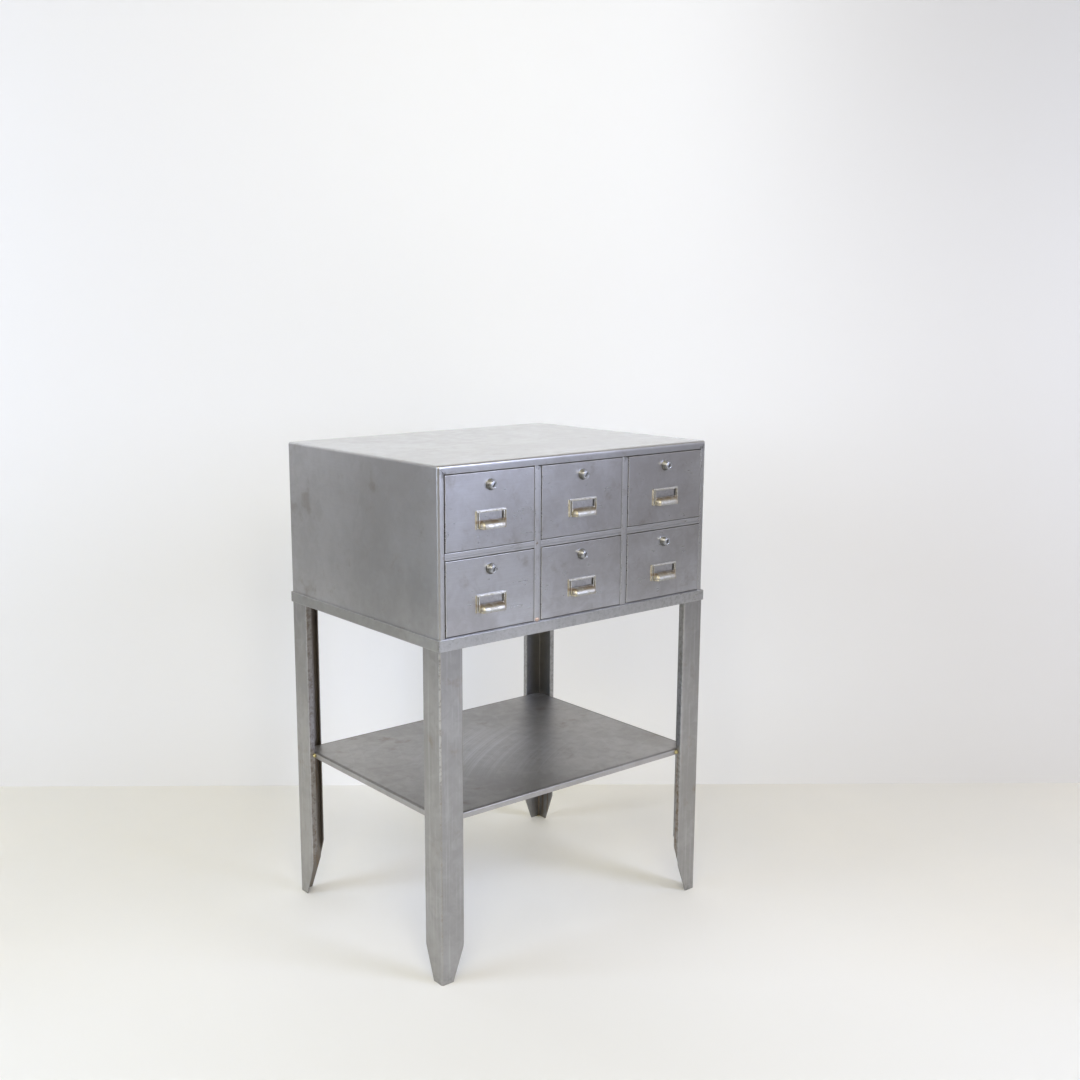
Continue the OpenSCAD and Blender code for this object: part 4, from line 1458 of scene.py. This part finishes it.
@dataclass
class Shelf:
    """Plate with its edges folded down, between the legs' lips, and the braze that holds it."""

    top: float = 332 * MM
    half_x: float = 334.4 * MM
    half_y: float = 253.4 * MM
    sheet: float = 1.5 * MM
    lip: float = 12 * MM
    fold_r: float = 3 * MM
    open_corner: float = 4.5 * MM
    bead_r: float = 5 * MM
    bead_shape: Point = (0.9, 0.9, 1.05)
    bead_inset: float = 0.3
    # Middle of the polished patch with its painted sheen.
    bright_spot: Point = (-0.03, 0.0, 332 * MM)
    swings: tuple[Swing, ...] = (Swing(-0.30, -0.62, 180), Swing(0.42, -0.75, 150),
                                 Swing(-0.62, 0.30, 120))

    def marks(self, tree: Tree) -> Marks:
        """Where the shelf is scratched in arcs, worn at its edge and stained at the braze, with a
        polished patch in the middle that is partly a painted sheen.
        """
        x, y, z = tree.axes()
        ragged = tree.cloud(140, 3, 0.6)
        edge = abs(x).near(self.half_x, 3.5 * MM).or_(
            abs(y - LAY.middle).near(self.half_y, 3.5 * MM))
        brink = abs(x).between(self.half_x - 9 * MM, self.half_x - 4 * MM).or_(
            abs(y - LAY.middle).between(self.half_y - 9 * MM, self.half_y - 4 * MM)) * z.between(
                self.top - 2.5 * MM, self.top - 1 * MM)
        arcs = reduce(Wire.or_, (self.arc(tree, swing) for swing in self.swings))
        fan = self.rings(tree, self.swings[1]).between(0.42, 0.68)
        # A polished patch round the middle, partly a painted sheen.
        polish_and_sheen = tree.away(self.bright_spot).between(0.22, 0.04) * (0.2 + fan * 0.55)
        flux = x.between(285 * MM, 305 * MM) * y.between(215 * MM, 235 * MM) * ragged
        return Marks(wear_and_highlight=(edge * (1 - brink) * 0.25).or_(polish_and_sheen),
                     scratched=(arcs * 0.45).or_(flux.between(0.3, 0.6)),
                     grime_and_shade=(tree.cloud(60, 4, 0.6, at=(1, 5, 2)).between(0.62, 0.8) * 0.3).or_(
                         brink * (0.35 + ragged * 0.3)))

    def rings(self, tree: Tree, swing: Swing) -> Wire:
        """Fine lines in rings round the middle of a swing.

        Args:
            tree: The shelf's material.
            swing: The swing that left them.

        Returns:
            A value round 0.5.
        """
        gap = tree.away((swing.x, swing.y, self.top))
        place = tree.node("ShaderNodeCombineXYZ", None,
                          {0: gap * swing.fineness, 1: swing.x, 2: swing.y})
        return tree.node("ShaderNodeTexNoise", {"noise_dimensions": "3D"},
                         {"Vector": place, "Scale": 1.6, "Detail": 3.0, "Roughness": 0.7})

    def arc(self, tree: Tree, swing: Swing) -> Wire:
        """The scratches that a swing has left here and there, from 0 to 1."""
        where = tree.cloud(7, 2, 0.5, at=(swing.x, swing.y, 3)).between(0.46, 0.62)
        return self.rings(tree, swing).between(0.56, 0.72) * where

    def cleaned(self, tree: Tree) -> Wire:
        """Where the braze is filed flush and grey: at the front left leg."""
        x, y, _ = tree.axes()
        return x.between(-0.2, -0.25) * y.between(-0.15, -0.2)

    def plate(self) -> Form:
        """The shelf.

        Returns:
            The form.
        """
        form, y0 = Form(), LAY.middle
        ring = form.chain([(sx * self.half_x, y0 + sy * self.half_y, self.top)
                           for sx, sy in ((-1, -1), (1, -1), (1, 1), (-1, 1))], closed=True)
        bmesh.ops.contextual_create(form.bm, geom=ring)
        long_x, long_y = self.half_x - self.open_corner, self.half_y - self.open_corner
        for way in (-1, 1):
            form.cut((way * long_x, 0, 0), (1, 0, 0), clear=False)
            form.cut((0, y0 + way * long_y, 0), (0, 1, 0), clear=False)
        form.drop(lambda c, n: abs(c.x) > long_x and abs(c.y - y0) > long_y)
        form.sweep(form.edges(lambda m, d: abs(abs(m.y - y0) - self.half_y) < TINY
                              or abs(abs(m.x) - self.half_x) < TINY), (0, 0, -self.lip))
        form.bend([e for e in form.edges(lambda m, d: abs(m.z - self.top) < TINY)
                   if len(e.link_faces) == 2 and e.calc_face_angle(0) > 1], self.fold_r, 4)
        form.ripple(lambda c, n: abs(c.z - self.top) < HAIR
                    and abs(c.x) < long_x and abs(c.y - y0) < long_y, (0, 0, -1),
                    (-long_x, y0 - long_y, self.top), (long_x, y0 + long_y, self.top),
                    1.0 * MM, 5.0, 10)
        form.make_sheet((0, y0, self.top - 1), self.sheet, 0.3 * MM)
        return form

    def bead(self, at: Vector, size: Vector, seed: int) -> Form:
        """A blob of braze.

        Args:
            at: Its middle.
            size: Its half sizes.
            seed: Picks its lumps.

        Returns:
            The form.
        """
        form = Form()
        bmesh.ops.create_icosphere(form.bm, subdivisions=3, radius=1)
        for vert in form.bm.verts:
            vert.co *= 0.86 + 0.14 * noise.noise(vert.co * 1.7 + Vector((seed * 7.3, seed, 0)))
        form.shift(Matrix.Translation(at) @ Matrix.Diagonal((*size, 1)))
        return form

    def braze(self) -> Form:
        """The beads between the shelf's edges and the legs' lips.

        Returns:
            The form.
        """
        whole, seed = Form(), 0
        gap = self.bead_inset * self.bead_r
        for side in (-1, 1):
            for end in (-1, 1):
                leg = Leg(side, end)
                edge, deep = leg.flange + gap, leg.lip - gap
                for u, v in ((edge, deep), (deep, edge)):
                    seed += 1
                    at = leg.spot(u, v, self.top - self.lip / 2)
                    whole.absorb(self.bead(at, Vector(self.bead_shape) * self.bead_r, seed))
        return whole

    def build(self) -> None:
        """Builds and dresses the shelf and its braze."""
        steel = Steel("shelf_steel", (0.435, 0.42, 0.405), (0.35, 0.336, 0.32), gloss=0.42,
                      uneven=0.1, grain=Grain.NONE, coat=0.1).paint(self.marks)
        self.plate().piece("shelf_sheet", "cabinet", "shelf_steel", steel, ["shelf"])
        brass = Plate("braze", (0.60, 0.53, 0.27), (0.42, 0.36, 0.17), 0.42,
                      stain=(0.30, 0.295, 0.285)).paint(self.cleaned)
        copper = Plate("copper_braze", (0.62, 0.47, 0.38), (0.42, 0.29, 0.21), 0.45).paint()
        self.braze().piece("braze_blobs", "cabinet", "braze", brass, ["braze_beads"])
        foot = self.bead(Vector((-LAY.pitch_x / 2, LAY.front + 0.4 * MM, LAY.sill + 2.5 * MM)),
                         Vector((7.0, 1.8, 4.6)) * MM, 31)
        foot.piece("braze_post_foot", "cabinet", "braze", copper)


# ---- Studio ----


@dataclass(frozen=True)
class Lamp:
    """A soft light, placed from the cabinet's middle as the camera sees it."""

    name: str
    wide: float
    tall: float
    watts: float
    back: float
    right: float
    up: float
    colour: Colour = (1.0, 1.0, 1.0)


@dataclass
class Studio:
    """Floor, wall, lights and camera."""

    eye: Point = (-1.6826, -2.1063, 1.2816)
    yaw: float = 0.6573
    pitch: float = -0.1886
    roll: float = -0.0034
    lens: float = 43.20
    shift_x: float = 0.0574
    shift_y: float = 0.0104
    wall_gap: float = 3.334
    wall_left: float = -1.75
    wall_right: float = 2.3
    wall_top: float = 4.0
    room_low: Colour = (0.43, 0.41, 0.405)
    room_high: Colour = (0.46, 0.40, 0.26)
    lamps: tuple[Lamp, ...] = (
        Lamp("key", 1.6, 1.6, 12.5, 3.0, -2.0, 1.4, (1.0, 0.944, 0.896)),
        Lamp("window", 1.2, 1.8, 58.5, 1.58, 2.86, 1.2, (0.667, 0.744, 1.0)),
        Lamp("bounce", 2.0, 1.2, 65.0, 3.4, 0, 2.2, (1.0, 0.923, 0.692)),
        Lamp("side", 1.6, 1.6, 55.0, 1.32, -3.02, 1.0, (0.655, 0.782, 1.0)),
    )
    floor_half: float = 9.0
    # Middle of a painted pool of light on the floor round the stand.
    pool_of_light_spot: Point = (-0.35, -0.55, 0)
    # Distances over which painted shade darkens the floor, from the first to the second.
    bright_floor: float = 2.2
    dim_floor: float = 3.6

    def ahead(self) -> Vector:
        """The level way that the camera looks."""
        return Vector((math.sin(self.yaw), math.cos(self.yaw), 0))

    def camera(self) -> None:
        """Sets up the camera."""
        data = bpy.data.cameras.new("camera")
        data.lens, data.sensor_width = self.lens, 36.0
        data.shift_x, data.shift_y = self.shift_x, self.shift_y
        data.clip_start, data.clip_end = 0.05, 60
        made = bpy.data.objects.new("camera", data)
        bpy.context.scene.collection.objects.link(made)
        turn = (Matrix.Rotation(-self.yaw, 4, "Z")
                @ Matrix.Rotation(math.pi / 2 + self.pitch, 4, "X")
                @ Matrix.Rotation(self.roll, 4, "Z"))
        made.matrix_world = Matrix.Translation(self.eye) @ turn
        bpy.context.scene.camera = made

    def plane(self, name: str, spans: Point, place: Matrix, paint: bpy.types.Material) -> None:
        """Adds a flat piece of the studio.

        Args:
            name: Its name.
            spans: Lowest and highest X, then lowest and highest Y, before it is placed.
            place: Where it lies.
            paint: Its material.
        """
        form = Form()
        x0, x1, y0, y1 = spans
        ring = form.chain([(x0, y0, 0), (x1, y0, 0), (x1, y1, 0), (x0, y1, 0)], closed=True)
        bmesh.ops.contextual_create(form.bm, geom=ring)
        form.face_out((0, 0, -1))
        form.shift(place)
        mesh = bpy.data.meshes.new(name)
        form.bm.to_mesh(mesh)
        form.bm.free()
        mesh.materials.append(paint)
        made = bpy.data.objects.new(name, mesh)
        bpy.context.scene.collection.objects.link(made)

    def level(self, tree: Tree) -> tuple[Wire, Wire]:
        """The place to the right and ahead, as the camera looks."""
        ahead = self.ahead()
        ways = (Vector((ahead.y, -ahead.x, 0)), ahead)
        return tuple(tree.node("ShaderNodeVectorMath", {"operation": "DOT_PRODUCT"},
                               {0: tree.place, 1: way}, "Value") for way in ways)

    def floor_paint(self) -> bpy.types.Material:
        """A pale worn floor, with painted light: a lighter pool round the stand, lighter floor in
        front of it, painted shade far from it, and glowing patches under and behind it.
        """
        tree = Tree("floor")
        cloud = tree.cloud(1.1, 5, 0.6)
        speck = tree.cloud(55, 4, 0.75).between(0.70, 0.80)
        colour = tree.blend(cloud.between(0.35, 0.65), (0.80, 0.785, 0.74), (0.77, 0.762, 0.73))
        colour = tree.blend(speck * 0.25, colour, (0.55, 0.5, 0.42))
        # Painted light: a lighter pool round the stand.
        colour = tree.blend(tree.away(self.pool_of_light_spot).between(1.3, 0.3), colour,
                            (0.89, 0.895, 0.90))
        across, run = self.level(tree)
        # Painted light: the floor in front of the stand lighter.
        colour = tree.blend(run.between(-0.2, -0.75), colour, (0.80, 0.81, 0.815))
        # Painted shade: the floor darkens far from the stand.
        colour = tree.blend(tree.away((0, 0, 0)).between(self.bright_floor, self.dim_floor),
                            colour, (0.30, 0.31, 0.33))
        # Painted light: patches under and behind the stand glow, cool on the left and warm in the
        # middle.
        cool_glow = across.near(-0.34, 0.30) * run.between(-0.1, 0.65) * run.between(1.0, 0.8)
        warm_glow = across.near(0.08, 0.5) * run.between(-0.1, 0.5) * run.between(1.0, 0.8)
        glow = tree.blend(cool_glow, BLACK, (0.13, 0.13, 0.13))
        glow = tree.blend(warm_glow, glow, (0.085, 0.065, 0.005), "ADD")
        tree.link("Emission Color", glow)
        tree.link("Emission Strength", 1.0)
        tree.link("Base Color", colour)
        tree.link("Roughness", 0.42 + cloud * 0.15)
        tree.link("Specular IOR Level", 0.3)
        return tree.paint

    def wall_paint(self) -> bpy.types.Material:
        """A pale wall, seen only from the room's side, with painted shade towards its sides and upper
        right and a painted glow behind the stand.
        """
        tree = Tree("wall")
        cloud = tree.cloud(0.7, 3, 0.5)
        across, run = self.level(tree)
        z = tree.axes()[2]
        colour = tree.blend(cloud, (0.82, 0.83, 0.845), (0.80, 0.81, 0.825))
        # Painted shade: darker towards the right and the left, darker still at the upper right.
        colour = tree.blend(across.between(0.3, 1.35), colour, (0.66, 0.655, 0.65))
        colour = tree.blend(across.between(0.1, -1.1), colour, (0.73, 0.73, 0.745))
        upper = z.between(1.1, 2.2)
        colour = tree.blend(upper * across.between(0.4, 1.4), colour, (0.56, 0.555, 0.55))
        # Painted light: the wall behind the stand glows, cool on the left and warm in the middle.
        behind_stand = z.between(0.95, 0.55)
        cool_glow = across.near(-0.33, 0.29) * behind_stand
        warm_glow = across.near(0.18, 0.5) * behind_stand
        glow = tree.blend(cool_glow, BLACK, (0.215, 0.215, 0.22))
        glow = tree.blend(warm_glow, glow, (0.11, 0.08, 0.01), "ADD")
        tree.link("Emission Color", glow)
        tree.link("Emission Strength", 1.0)
        tree.link("Base Color", colour)
        tree.link("Roughness", 0.8)
        behind = tree.node("ShaderNodeNewGeometry", output="Backfacing")
        clear = tree.node("ShaderNodeBsdfTransparent")
        body = Wire(tree, tree.shader.outputs[0])
        mixed = tree.node("ShaderNodeMixShader", None, {0: behind, 1: body, 2: clear})
        out = tree.tree.nodes["Material Output"]
        tree.tree.links.new(mixed.socket, out.inputs["Surface"])
        return tree.paint

    def light(self, lamp: Lamp, at: Point, aim: Point) -> None:
        """Adds a soft light.

        Args:
            lamp: The light.
            at: Where it hangs.
            aim: The point that it faces.
        """
        data = bpy.data.lights.new(lamp.name, "AREA")
        data.shape, data.size, data.size_y = "RECTANGLE", lamp.wide, lamp.tall
        data.energy, data.color = lamp.watts, lamp.colour
        made = bpy.data.objects.new(lamp.name, data)
        bpy.context.scene.collection.objects.link(made)
        way = Vector(aim) - Vector(at)
        made.matrix_world = (Matrix.Translation(at)
                             @ way.to_track_quat("-Z", "Y").to_matrix().to_4x4())

    def build(self) -> None:
        """Sets up the whole studio."""
        scene = bpy.context.scene
        scene.view_settings.view_transform = "Standard"
        scene.view_settings.look = "None"
        world = bpy.data.worlds.new("room")
        scene.world = world
        world.use_nodes = True
        nodes, links = world.node_tree.nodes, world.node_tree.links
        place, parts = nodes.new("ShaderNodeTexCoord"), nodes.new("ShaderNodeSeparateXYZ")
        ramp = nodes.new("ShaderNodeValToRGB")
        first, last = ramp.color_ramp.elements
        first.position, first.color = 0.0, (*self.room_low, 1)
        last.position, last.color = 0.9, (*self.room_high, 1)
        links.new(place.outputs["Generated"], parts.inputs[0])
        links.new(parts.outputs["Z"], ramp.inputs[0])
        links.new(ramp.outputs[0], nodes["Background"].inputs["Color"])
        half = self.floor_half
        self.plane("floor", (-half, half, -half, half), Matrix.Identity(4), self.floor_paint())
        eye, ahead = Vector(self.eye), self.ahead()
        foot = Vector((eye.x, eye.y, 0)) + ahead * self.wall_gap
        wall = (Matrix.Translation(foot) @ Matrix.Rotation(-self.yaw, 4, "Z")
                @ Matrix.Rotation(math.pi / 2, 4, "X"))
        self.plane("wall", (self.wall_left, self.wall_right, 0, self.wall_top), wall,
                   self.wall_paint())
        right = Vector((ahead.y, -ahead.x, 0))
        middle = Vector((0, 0, 0.6))
        for lamp in self.lamps:
            self.light(lamp, middle - ahead * lamp.back + right * lamp.right
                       + Vector((0, 0, lamp.up)), middle)
        self.camera()


def main() -> None:
    """Builds the cabinet and the studio in order."""
    logging.basicConfig(level=logging.INFO, format="%(name)s: %(message)s")
    Casing().build()
    Drawers().build()
    Stand().build()
    Shelf().build()
    Studio().build()


if __name__ == "__main__":
    main()
